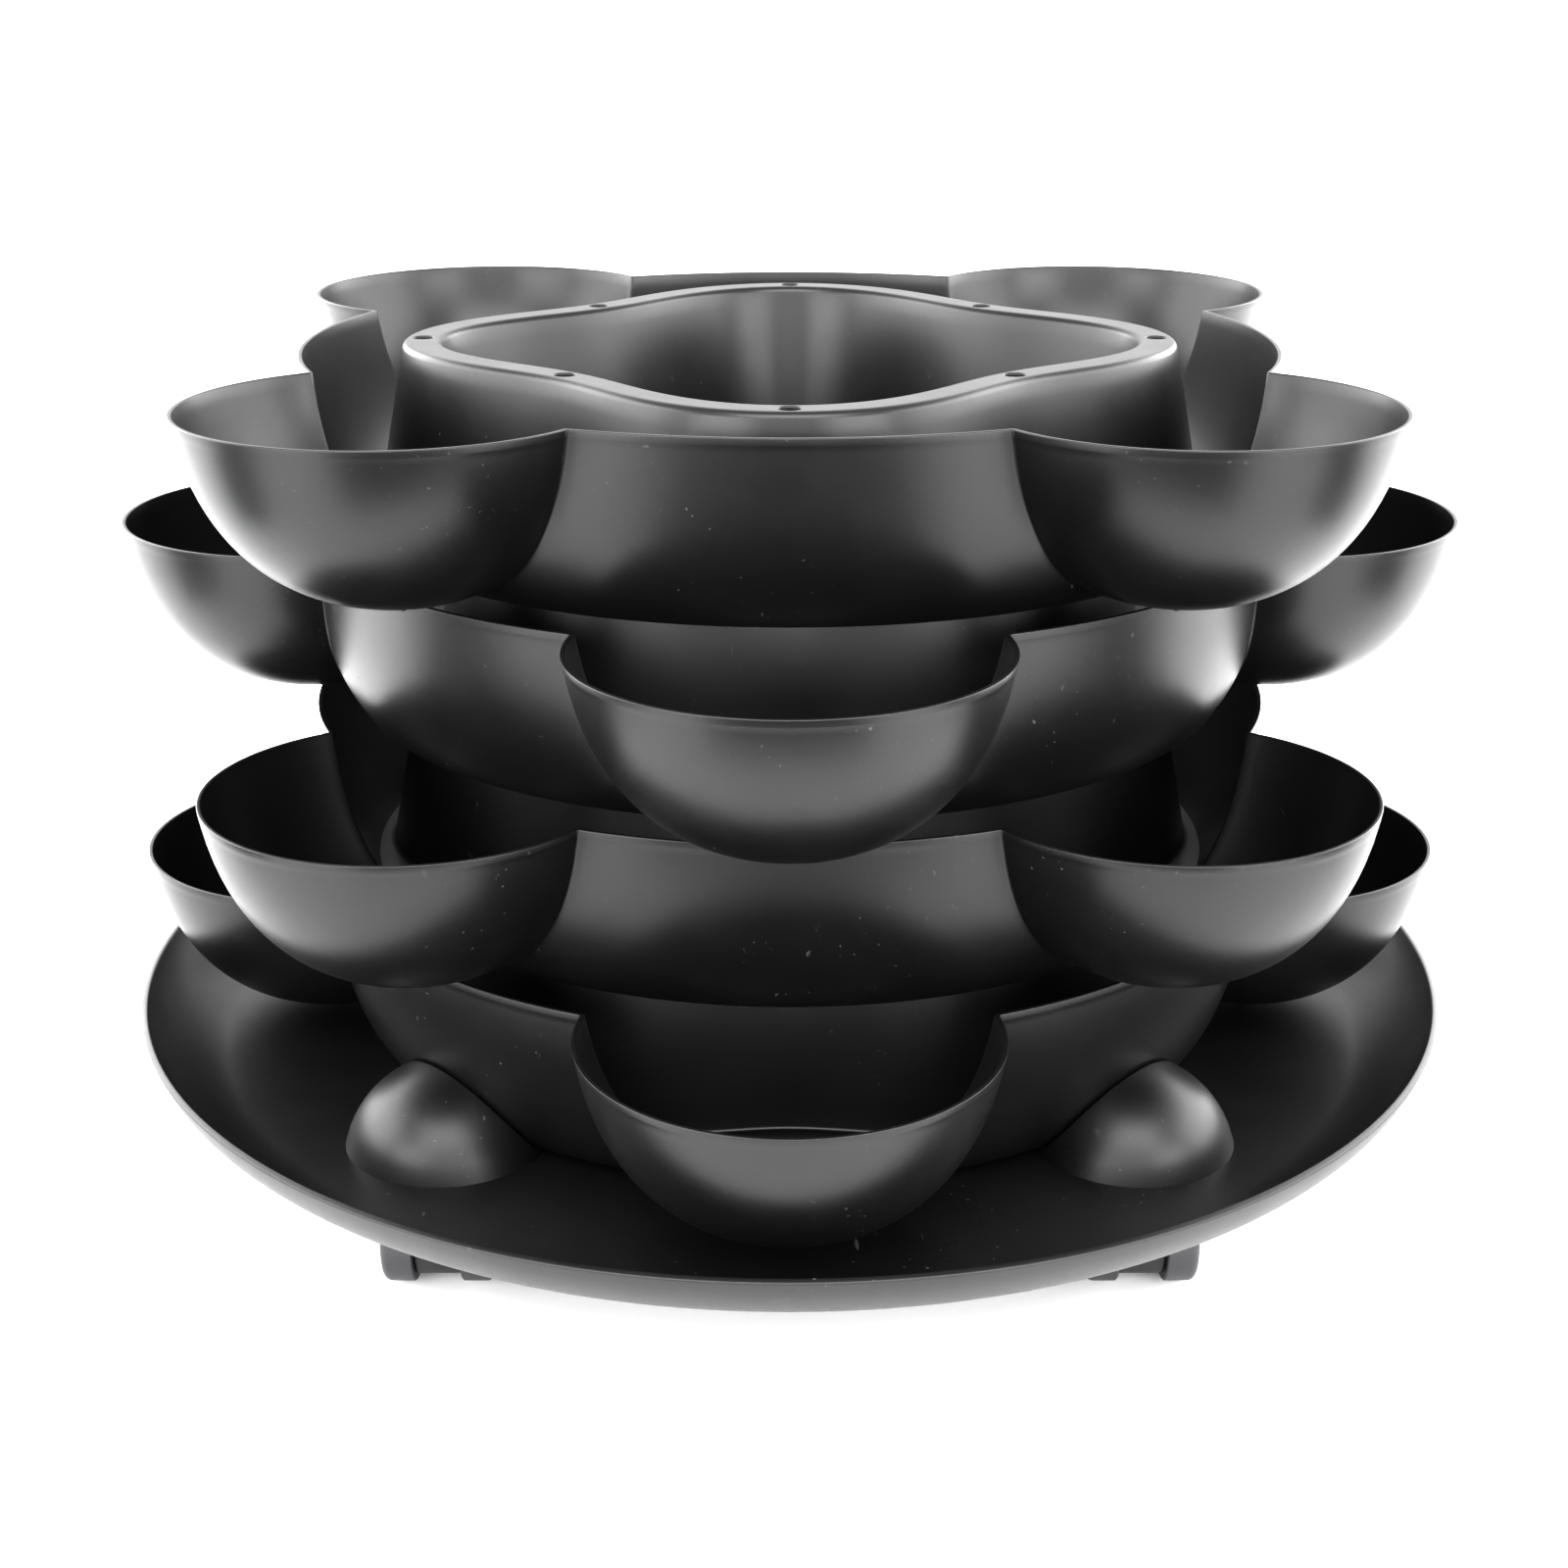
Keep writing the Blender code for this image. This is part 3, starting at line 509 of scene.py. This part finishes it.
def soft_corner(before, corner, after, radius, count=5):
    """Round a corner of a profile: points of the arc that touches both its lines."""
    p = np.array(corner, float)
    u = np.array(before, float) - p
    v = np.array(after, float) - p
    u, v = u / np.linalg.norm(u), v / np.linalg.norm(v)
    half = math.acos(np.clip(u @ v, -1, 1)) / 2
    reach = radius / math.tan(half)
    middle = p + (u + v) / np.linalg.norm(u + v) * radius / math.sin(half)
    start, end = p + u * reach - middle, p + v * reach - middle
    t = np.linspace(0, 1, count)[:, None]
    angle = math.pi - 2 * half
    return middle + (np.sin((1 - t) * angle) * start + np.sin(t * angle) * end) / math.sin(angle)


def softened(points, radii):
    """A profile with its inner corners rounded by the given radii; 0 leaves a corner as it is."""
    out = [np.array(points[:1], float)]
    for before, corner, after, radius in zip(points, points[1:], points[2:], radii):
        out.append(soft_corner(before, corner, after, radius) if radius else np.array([corner], float))
    out.append(np.array(points[-1:], float))
    return np.concatenate(out)


def saucer_section():
    """Section of the saucer from the middle of its top out over the rim and back underneath."""
    seat = [(0, PLATE), (SEAT_IN, PLATE), (SEAT_IN + SEAT_SLOPE, SEAT), (SEAT_OUT - SEAT_SLOPE, SEAT),
            (SEAT_OUT, PLATE), (CORNER_DISTANCE, PLATE)]
    top = softened(seat, 4 * (SEAT_ROUND,))
    top = np.insert(top, 1, [(20, PLATE), (45, PLATE), (70, PLATE)], 0)
    centre = (CORNER_DISTANCE, CORNER_HEIGHT)
    start, end = -math.pi / 2, CORNER_SWEEP - math.pi / 2
    inside = arc(centre, CORNER_OUTER - SAUCER_WALL, start, end - 0.03, 18)
    outside = arc(centre, CORNER_OUTER, end - 0.03, start, 18)
    tip_in = arc(centre, CORNER_OUTER - SAUCER_WALL, end, end, 1)[0]
    tip_out = arc(centre, CORNER_OUTER, end, end, 1)[0]
    rim = np.concatenate([soft_corner(inside[-1], tip_in, tip_out, SAUCER_LIP_ROUND),
                          soft_corner(tip_in, tip_out, outside[0], SAUCER_LIP_ROUND)])
    edge = SEAT_OUT - SAUCER_WALL
    below = softened([(CORNER_DISTANCE, UNDER), (edge, UNDER), (edge - SEAT_SLOPE, UNDER + SEAT_RISE),
                      (SEAT_IN + SAUCER_WALL + SEAT_SLOPE, UNDER + SEAT_RISE), (SEAT_IN + SAUCER_WALL, UNDER),
                      (0, UNDER)], 4 * (SEAT_ROUND,))
    return np.concatenate([top[:-1], inside, rim, outside, below[1:]])


def trimmed_column(distance, cap, radius, gap, shelf, bottom, rim_rows):
    """A closed column at a distance along X, whose top is the lower of its cap and the lowest tier's bowl.

    Round the column's own axis, height = min(cap(r), max(bowl(R), shelf)), where R is the distance from
    the tower's axis. On every ray the rows are set on the bowl's foot and on the crest between bowl and
    cap, so both stay crisp."""
    bowl = bowl_curve(gap, gap, TIER_DEPTH)[::-1]
    bowl_z = bowl[:, 1] + LOWEST_RIM
    foot_at = bowl[0, 0]
    reach = foot_at ** 2 - distance ** 2 - radius ** 2
    meets = abs(reach) < 2 * distance * radius
    near = math.acos(reach / (2 * distance * radius)) if meets else math.pi
    a = np.unique(np.concatenate([np.linspace(-math.pi, math.pi, 121)[:-1],
                                  *[side * near + np.linspace(-0.07, 0.07, 15) for side in (-1, 1)]]))
    a = a[(a >= -math.pi) & (a < math.pi)]
    r = np.linspace(0, radius, 500)

    def allowed(rr, aa):
        far = np.hypot(distance + rr * np.cos(aa), rr * np.sin(aa))
        return np.maximum(np.where(far < foot_at, shelf, np.interp(far, bowl[:, 0], bowl_z)), shelf), far

    height, far = allowed(r[None], a[:, None])
    over = height >= cap(r)[None]
    crest = np.where(over.any(1), r[np.argmax(over, 1)], radius)
    inside = far < foot_at
    foot = np.minimum(np.where(inside.any(1), r[np.argmax(inside, 1)], crest), crest)
    t = np.linspace(0, 1, 18)[:, None]
    s = np.linspace(0, 1, 5)[1:, None]
    k = np.linspace(0, 1, rim_rows)[1:, None]
    rows = np.concatenate([t * foot, foot + s * (crest - foot), crest + k * (radius - crest)])
    z = np.minimum(allowed(rows, a[None])[0], cap(rows))
    z[:18] = np.maximum(z[:18], np.where(foot < crest, bowl_z[0], 0)[None])
    rows = np.concatenate([rows, rows[-1:], 0 * rows[-1:]])
    z = np.concatenate([z, np.full((2, len(a)), bottom)])
    x, y = distance + rows * np.cos(a), rows * np.sin(a)
    return np.stack([x, y, z], 2)


def dome_cap(shrink):
    """Height of a dome's sphere over its own axis."""
    radius = DOME_SPHERE - shrink
    return lambda r: DOME_CENTRE + np.sqrt(np.maximum(radius ** 2 - r ** 2, 0))


def four(name, grid):
    """A closed grid's mesh four times, on the diagonals."""
    mesh = Sheets().add(grid, True).mesh(name)
    return merged(name, [moved(mesh, turn=math.pi / 4 + i * math.pi / 2) for i in range(4)])


def rolling_saucer():
    """The saucer with domes, wells under them, bosses, bores and peg holes."""
    plate = lathe("saucer", saucer_section(), SAUCER_COLUMNS)
    dome = trimmed_column(DOME_DISTANCE, dome_cap(0), DOME_BASE, 1.0, SEAT - 0.3, UNDER + 1.1, 20)
    well_foot = DOME_BASE * (DOME_SPHERE - SAUCER_WALL) / DOME_SPHERE
    well = trimmed_column(DOME_DISTANCE, dome_cap(SAUCER_WALL), well_foot, 3.3, SEAT - 2.6, UNDER - 2, 20)
    boss = trimmed_column(BOSS_DISTANCE, lambda r: BOSS_TOP + 0 * r, BOSS_RADIUS, 2.15, SEAT - 1.3, UNDER, 3)
    bore = spin([(0, UNDER - 2), (BORE_RADIUS, UNDER - 2), (BORE_RADIUS, BORE_TOP), (0, BORE_TOP)], 48,
                (BOSS_DISTANCE, 0))
    seat_at = [polar(RING_WAIST if i % 2 else RING_LOBE, i * math.pi / 4) for i in range(8)]
    seats = [flared_hole(HOLE_RADIUS, SEAT, UNDER - 2, at) for at in seat_at]
    return shade(carved(plate, ("UNION", four("dome", dome)), ("DIFFERENCE", four("well", well)),
                        ("UNION", four("boss", boss)),
                        ("DIFFERENCE", merged("bores", [four("bore", bore), *seats]))))


# ---------------------------------------------------------------- casters

def lying(mesh, side=1):
    """A shape turned about Z laid along X at the axle, its upper end to the right or the left."""
    x, y, z = places(mesh)
    return placed(mesh, side * z, y - TRAIL * MM, -side * x + WHEEL_RADIUS * MM)


def drum(radius, low, high, rounding, columns=80):
    """A closed cylinder with rounded edges."""
    edge = arc((radius - rounding, high - rounding), rounding, 0, math.pi / 2, 5)
    profile = [(0, low), *(edge * (1, -1) + (0, low + high))[::-1], *edge, (0, high)]
    return lathe("drum", profile, columns)


def roller():
    """Wheel about its own axis, outer face up: crowned tread, ribbed edge, dished face and hub."""
    shoulder = (WHEEL_RADIUS - TREAD_ROUND, WHEEL_OUT - TREAD_ROUND)
    tread = [(WHEEL_RADIUS - 0.35, WHEEL_IN), (WHEEL_RADIUS, WHEEL_IN + 0.4), (WHEEL_RADIUS, shoulder[1])]
    corner = arc(shoulder, TREAD_ROUND, 0, math.pi / 2, 9)
    dish, hub = WHEEL_OUT - FACE_DEPTH, WHEEL_OUT - 1.3
    face = softened([(shoulder[0], WHEEL_OUT), (13.4, WHEEL_OUT), (11.9, dish), (7.2, dish), (6.5, hub),
                     (4.6, hub), (4.4, dish), (AXLE_BORE, dish)], (0.35, 0.5, 0.4, 0.25, 0.1, 0))
    back = softened([(AXLE_BORE, WHEEL_IN), (6.0, WHEEL_IN), (6.6, WHEEL_IN + 0.8), (13.2, WHEEL_IN + 0.8),
                     (13.8, WHEEL_IN), (WHEEL_RADIUS - 0.35, WHEEL_IN)], (0.2, 0.3, 0.3, 0.2))
    return shade(lathe("roller", [*tread, *corner[1:], *face[1:], *back[:-1]], 96, closed=True))


def block(low, high):
    """A box between two corners."""
    shape = bmesh.new()
    bmesh.ops.create_cube(shape, size=1.0)
    for vert in shape.verts:
        vert.co = [(a if c < 0 else b) * MM for a, b, c in zip(low, high, vert.co)]
    made = bpy.data.meshes.new("block")
    shape.to_mesh(made)
    shape.free()
    return made


def caster_body():
    """Caster body: the guard over the wheels, the web between them and the head that holds the stem."""
    guard = lying(drum(GUARD_OUT, -WHEEL_OUT, WHEEL_OUT, 0.5))
    spaces = merged("spaces", [lying(drum(GUARD_IN, WEB_HALF, CUTTER_END, 0.02)),
                               lying(drum(GUARD_IN, -CUTTER_END, -WEB_HALF, 0.02))])
    lower_half = block((-GUARD_OUT, -28.5, -4.5), (GUARD_OUT, 21.5, 22.0))
    web = lying(drum(WEB_RADIUS, -WEB_HALF, WEB_HALF, 0.8))
    neck = arc((HEAD_RADIUS - 0.8, HEAD_TOP - 0.8), 0.8, 0, math.pi / 2, 4)
    head = lathe("head", [(0, HEAD_FOOT), (HEAD_RADIUS, HEAD_FOOT), *neck, (0, HEAD_TOP)], 64)
    bore = lathe("stem_bore", [(0, STEM_BORE_FOOT), (STEM_BORE, STEM_BORE_FOOT), (STEM_BORE, HEAD_TOP + 2),
                               (0, HEAD_TOP + 2)], 40)
    axle_bore = lying(lathe("axle_bore", [(0, -20), (AXLE_BORE, -20), (AXLE_BORE, 20), (0, 20)], 40))
    return shade(carved(guard, ("DIFFERENCE", spaces), ("DIFFERENCE", lower_half), ("UNION", web),
                        ("UNION", head), ("DIFFERENCE", axle_bore), ("DIFFERENCE", bore)))


def stem_pin():
    """Steel stem: chamfered tip and the split ring's groove."""
    r, groove = STEM_RADIUS, GROOVE_RADIUS
    high, low = STEM_TOP - 2.4, STEM_TOP - 4.0
    profile = [(0, STEM_FOOT), (r - 0.3, STEM_FOOT), (r, 32.5), (r, low), (groove, low), (groove, high),
               (r, high), (r, STEM_TOP - 0.8), (r - 0.8, STEM_TOP), (0, STEM_TOP)]
    return shade(lathe("stem", profile, 56), 25)


def split_ring():
    """Split ring: a square section carried most of the way round, with both ends closed."""
    half_slot = 1.5 / 3.2
    a = np.linspace(half_slot, 2 * math.pi - half_slot, 60)
    r = np.array([3.1, 3.4, 3.5, 3.5, 3.4, 3.1, 2.95, 2.9, 2.9, 2.95, 3.1])
    z = STEM_TOP - 3.2 + np.array([0.5, 0.5, 0.4, -0.4, -0.5, -0.5, -0.5, -0.4, 0.4, 0.5, 0.5])
    ring = np.stack([r * np.cos(a)[:, None], r * np.sin(a)[:, None], z + 0 * a[:, None]], 2)
    ends = np.stack([ring[:1].mean(1, keepdims=True)[0], ring[-1:].mean(1, keepdims=True)[0]])
    first = np.broadcast_to(ends[:1], (1, ring.shape[1], 3))
    last = np.broadcast_to(ends[1:], (1, ring.shape[1], 3))
    return shade(Sheets().add(np.concatenate([first, ring, last]), True).mesh("split_ring", 0.0002))


def sleeve():
    """Plastic sleeve for the stem, with a flange under the saucer."""
    profile = softened([(STEM_BORE, 51.2), (5.2, 51.2), (5.2, 40.7), (7.8, 40.7), (7.8, 39.7),
                        (STEM_BORE, 39.7), (STEM_BORE, 51.2)], (0.4, 0.1, 0.25, 0.25, 0.25))
    return shade(lathe("sleeve", profile[:-1], 56, closed=True))


def spindle():
    """Headed axle along its own axis, with low domed heads."""
    end = SPINDLE_HEAD
    start = math.asin(math.sqrt(1 - (3.7 / SPINDLE_DOME) ** 2))
    dome = arc((0, SPINDLE_TIP - SPINDLE_DOME), SPINDLE_DOME, start, math.pi / 2, 7)
    head = np.array([(2.5, end), (3.9, end), (4.0, end + 0.15), (4.0, end + 0.35), *dome])
    return shade(lathe("spindle", [*(head[::-1] * (1, -1)), *head], 56), 30)


# ---------------------------------------------------------------- finishes

def finish_nodes(name):
    """A new material with its node list, links and shader."""
    made = bpy.data.materials.new(name)
    made.use_nodes = True
    tree = made.node_tree
    return made, tree, tree.nodes["Principled BSDF"]


def node(tree, kind, **values):
    """A node with its properties and inputs set by name."""
    made = tree.nodes.new(kind)
    for key, value in values.items():
        if key in made.inputs:
            made.inputs[key].default_value = value
        else:
            setattr(made, key, value)
    return made


def noise(tree, place, scale, detail=3.0, roughness=0.55):
    """Noise on the piece's own coordinates; scale is in features a metre."""
    made = node(tree, "ShaderNodeTexNoise", Scale=scale, Detail=detail, Roughness=roughness)
    tree.links.new(place, made.inputs["Vector"])
    return made.outputs["Fac"]


def spread(tree, value, low, high, out_low=0.0, out_high=1.0):
    """Map a range of a value to another range, clamped."""
    made = node(tree, "ShaderNodeMapRange")
    tree.links.new(value, made.inputs["Value"])
    for key, number in zip(("From Min", "From Max", "To Min", "To Max"), (low, high, out_low, out_high)):
        made.inputs[key].default_value = number
    return made.outputs["Result"]


def blend(tree, share, one, other):
    """Mix two colours by a share; each is a colour or a socket."""
    made = node(tree, "ShaderNodeMix", data_type="RGBA")
    tree.links.new(share, made.inputs[0])
    for key, colour in ((6, one), (7, other)):
        if isinstance(colour, tuple):
            made.inputs[key].default_value = (*colour, 1.0)
        else:
            tree.links.new(colour, made.inputs[key])
    return made.outputs[2]


def times(tree, one, other, operation="MULTIPLY"):
    """Two numbers multiplied, or put together by another operation."""
    made = node(tree, "ShaderNodeMath", operation=operation)
    for slot, value in zip(made.inputs, (one, other)):
        if isinstance(value, float):
            slot.default_value = value
        else:
            tree.links.new(value, slot)
    return made.outputs[0]


def moulded_plastic(name, colour, paler, roughness, dust, grain=0.12):
    """Moulded plastic: faint mottling, sparse pale dust and short scuffs, uneven gloss, a fine spark-eroded
    grain and the slight waviness of a thin wall."""
    made, tree, shader = finish_nodes(name)
    place = node(tree, "ShaderNodeTexCoord").outputs["Object"]
    mottle = spread(tree, noise(tree, place, 26, 4), 0.3, 0.72)
    base = blend(tree, mottle, colour, paler)
    specks = spread(tree, noise(tree, place, 620, 1.5, 0.4), 0.735, 0.78)
    patches = spread(tree, noise(tree, place, 14, 2), 0.42, 0.62)
    stretched = node(tree, "ShaderNodeMapping")
    stretched.inputs["Scale"].default_value = (1.0, 0.22, 0.6)
    stretched.inputs["Rotation"].default_value = (0.5, 0.3, 0.8)
    tree.links.new(place, stretched.inputs["Vector"])
    scuffs = spread(tree, noise(tree, stretched.outputs[0], 420, 2, 0.5), 0.70, 0.76)
    rare = times(tree, scuffs, spread(tree, noise(tree, place, 21, 2), 0.56, 0.68))
    marks = times(tree, times(tree, specks, patches), rare, "MAXIMUM")
    pale_dust = tuple(min(1.0, c * 6 + 0.10) for c in colour)
    tree.links.new(blend(tree, times(tree, marks, dust), base, pale_dust), shader.inputs["Base Color"])
    gloss = spread(tree, noise(tree, place, 55, 5, 0.6), 0.25, 0.75, roughness - 0.02, roughness + 0.03)
    tree.links.new(times(tree, gloss, times(tree, marks, 0.25), "ADD"), shader.inputs["Roughness"])
    shader.inputs["IOR"].default_value = 1.5
    fine = node(tree, "ShaderNodeBump", Strength=grain, Distance=0.0001)
    tree.links.new(noise(tree, place, 1900, 2, 0.6), fine.inputs["Height"])
    wave = node(tree, "ShaderNodeBump", Strength=0.05, Distance=0.0006)
    tree.links.new(noise(tree, place, 32, 2, 0.4), wave.inputs["Height"])
    tree.links.new(fine.outputs[0], wave.inputs["Normal"])
    tree.links.new(wave.outputs[0], shader.inputs["Normal"])
    return made


def plated_steel(name):
    """Zinc plated steel: bright, with cloudy gloss and fine turning marks."""
    made, tree, shader = finish_nodes(name)
    place = node(tree, "ShaderNodeTexCoord").outputs["Object"]
    cloud = spread(tree, noise(tree, place, 260, 4), 0.3, 0.7)
    tree.links.new(blend(tree, cloud, (0.50, 0.51, 0.52), (0.66, 0.66, 0.65)), shader.inputs["Base Color"])
    shader.inputs["Metallic"].default_value = 1.0
    tree.links.new(spread(tree, noise(tree, place, 420, 3), 0.3, 0.7, 0.22, 0.38), shader.inputs["Roughness"])
    fine = node(tree, "ShaderNodeBump", Strength=0.15, Distance=0.00005)
    tree.links.new(noise(tree, place, 3800, 2), fine.inputs["Height"])
    tree.links.new(fine.outputs[0], shader.inputs["Normal"])
    return made


# ---------------------------------------------------------------- pieces

def piece(name, mesh, body, node_name, finish):
    """A finished piece that stands for a CAD node and rides with its body."""
    mesh.materials.clear()
    mesh.materials.append(finish)
    obj = put(name, mesh)
    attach(obj, body)
    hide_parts(node_name)


LOWEST_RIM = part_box("tier_4")[1].z / MM - RING_PROUD

charcoal = moulded_plastic("charcoal_tier_plastic", (0.0030, 0.0030, 0.0032),
                           (0.0048, 0.0047, 0.0049), 0.34, 0.3)
saucer_grey = moulded_plastic("charcoal_saucer_plastic", (0.0034, 0.0034, 0.0035),
                              (0.0054, 0.0053, 0.0054), 0.41, 0.5)
black = moulded_plastic("black_caster_plastic", (0.010, 0.010, 0.011), (0.014, 0.014, 0.015), 0.48, 0.4, 0.25)
tread_grey = moulded_plastic("wheel_plastic", (0.026, 0.026, 0.028), (0.036, 0.036, 0.038), 0.46, 0.6, 0.2)
sleeve_grey = moulded_plastic("sleeve_plastic", (0.045, 0.045, 0.047), (0.056, 0.056, 0.058), 0.46, 0.3, 0.15)
zinc = plated_steel("zinc_plated_steel")

moulding = tier_moulding()
for number in (1, 2, 3, 4):
    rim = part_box(f"tier_{number}")[1].z / MM - RING_PROUD
    mesh = moved(moulding, z=rim, turn=(number + 1) % 2 * math.pi / 4)
    piece(f"cup_tier_{number}", mesh, f"tier_{number}", f"tier_{number}", charcoal)

piece("rolling_saucer", rolling_saucer(), "base", "saucer", saucer_grey)

wheel = roller()
parts = {
    "body": (caster_body(), "hood", "caster_plastic", black),
    "pin": (stem_pin(), "stem", "steel", zinc),
    "split_ring": (split_ring(), "grip_ring", "steel", zinc),
    "sleeve": (sleeve(), "socket", "socket_plastic", sleeve_grey),
    "spindle": (lying(spindle()), "axle", "steel", zinc),
    "roller_right": (lying(wheel), "wheel_right", "wheel_plastic", tread_grey),
    "roller_left": (lying(wheel, -1), "wheel_left", "wheel_plastic", tread_grey),
}
swivels = {joint["child"]: joint["pos_m"] for joint in frame["joints"] if joint["name"].endswith("_swivel")}
for caster, (x, y, _) in swivels.items():
    for word, (mesh, cad, slot, finish) in parts.items():
        if cad == "socket":
            body = "base"
        elif cad.startswith("wheel"):
            body = f"{caster}_{cad}"
        else:
            body = caster
        piece(f"{caster}_{word}", moved(mesh, x / MM, y / MM), body, f"{caster}_{cad}", finish)

# ---------------------------------------------------------------- floor, light and camera

floor_mesh = Sheets().add(np.stack([*np.meshgrid(np.linspace(-9000, 9000, 3), np.linspace(-4000, 14000, 3)),
                                    np.zeros((3, 3))], 2)).mesh("floor")
floor = put("studio_floor", floor_mesh)
floor_paint, _, floor_shader = finish_nodes("floor_paint")
floor_shader.inputs["Base Color"].default_value = (0.93, 0.93, 0.93, 1.0)
floor_shader.inputs["Roughness"].default_value = 0.85
floor_mesh.materials.append(floor_paint)

world = bpy.data.worlds.new("studio")
bpy.context.scene.world = world
world.use_nodes = True
world.node_tree.nodes["Background"].inputs["Color"].default_value = (1.0, 1.0, 1.0, 1.0)
world.node_tree.nodes["Background"].inputs["Strength"].default_value = 1.1


def softbox(name, place, aim, width, height, brightness):
    """A soft rectangular lamp aimed at a point; its brightness is that of its face."""
    lamp = bpy.data.lights.new(name, "AREA")
    lamp.shape = "RECTANGLE"
    lamp.size = width
    lamp.size_y = height
    lamp.energy = brightness * math.pi * width * height
    obj = bpy.data.objects.new(name, lamp)
    bpy.context.scene.collection.objects.link(obj)
    obj.visible_camera = False
    obj.location = place
    direction = np.array(aim, float) - np.array(place, float)
    obj.rotation_euler = (math.atan2(math.hypot(direction[0], direction[1]), -direction[2]), 0.0,
                          math.atan2(direction[1], direction[0]) - math.pi / 2)


for side, word in ((-1, "left"), (1, "right")):
    softbox(word + "_softbox", (1.15 * side, 0.5, 0.58), (0, 0.3, 0.2), 2.1, 1.0, 6.5)
    softbox(word + "_front_softbox", (1.05 * side, -1.25, 0.5), (0, 0, 0.2), 1.1, 0.75, 9.0)
softbox("top_softbox", (0, -1.05, 1.45), (0, 0, 0.1), 1.7, 1.1, 7.0)
softbox("front_fill", (0, -1.9, 0.45), (0, 0, 0.2), 0.9, 0.5, 8.0)
softbox("back_softbox", (0, 2.0, 1.2), (0, 0, 0.2), 4.0, 1.3, 1.3)


def dark_cards():
    """Three parts of a ring lying just above the floor in front: x = r cos a, y = r sin a."""
    cards = Sheets()
    for low, high, near in ((184, 207, 440), (242, 298, 430), (333, 356, 440)):
        a = np.radians(np.linspace(low, high, 20))
        r = np.linspace(near, 2400, 6)[:, None]
        cards.add(np.stack([r * np.cos(a), r * np.sin(a), 2 + 0 * r * a], 2))
    mesh = cards.mesh("cards")
    paint, _, shader = finish_nodes("card_paint")
    shader.inputs["Base Color"].default_value = (0.01, 0.01, 0.01, 1.0)
    shader.inputs["Roughness"].default_value = 0.9
    mesh.materials.append(paint)
    card = put("dark_cards", mesh)
    card.visible_camera = False
    card.visible_shadow = False
    card.visible_diffuse = False


dark_cards()

camera = bpy.data.cameras.new("camera")
camera.sensor_width = 36
camera.lens = 55.68
camera.shift_x = -0.0037
camera.shift_y = -0.079
camera_object = bpy.data.objects.new("camera", camera)
bpy.context.scene.collection.objects.link(camera_object)
camera_object.location = (0.0, -0.80048, 0.41352)
camera_object.rotation_euler = (math.pi / 2 - 0.2970, 0.0, 0.0)
bpy.context.scene.camera = camera_object
bpy.context.scene.view_settings.view_transform = "Standard"
bpy.context.scene.view_settings.exposure = 0.42
bpy.context.scene.view_settings.gamma = 0.78
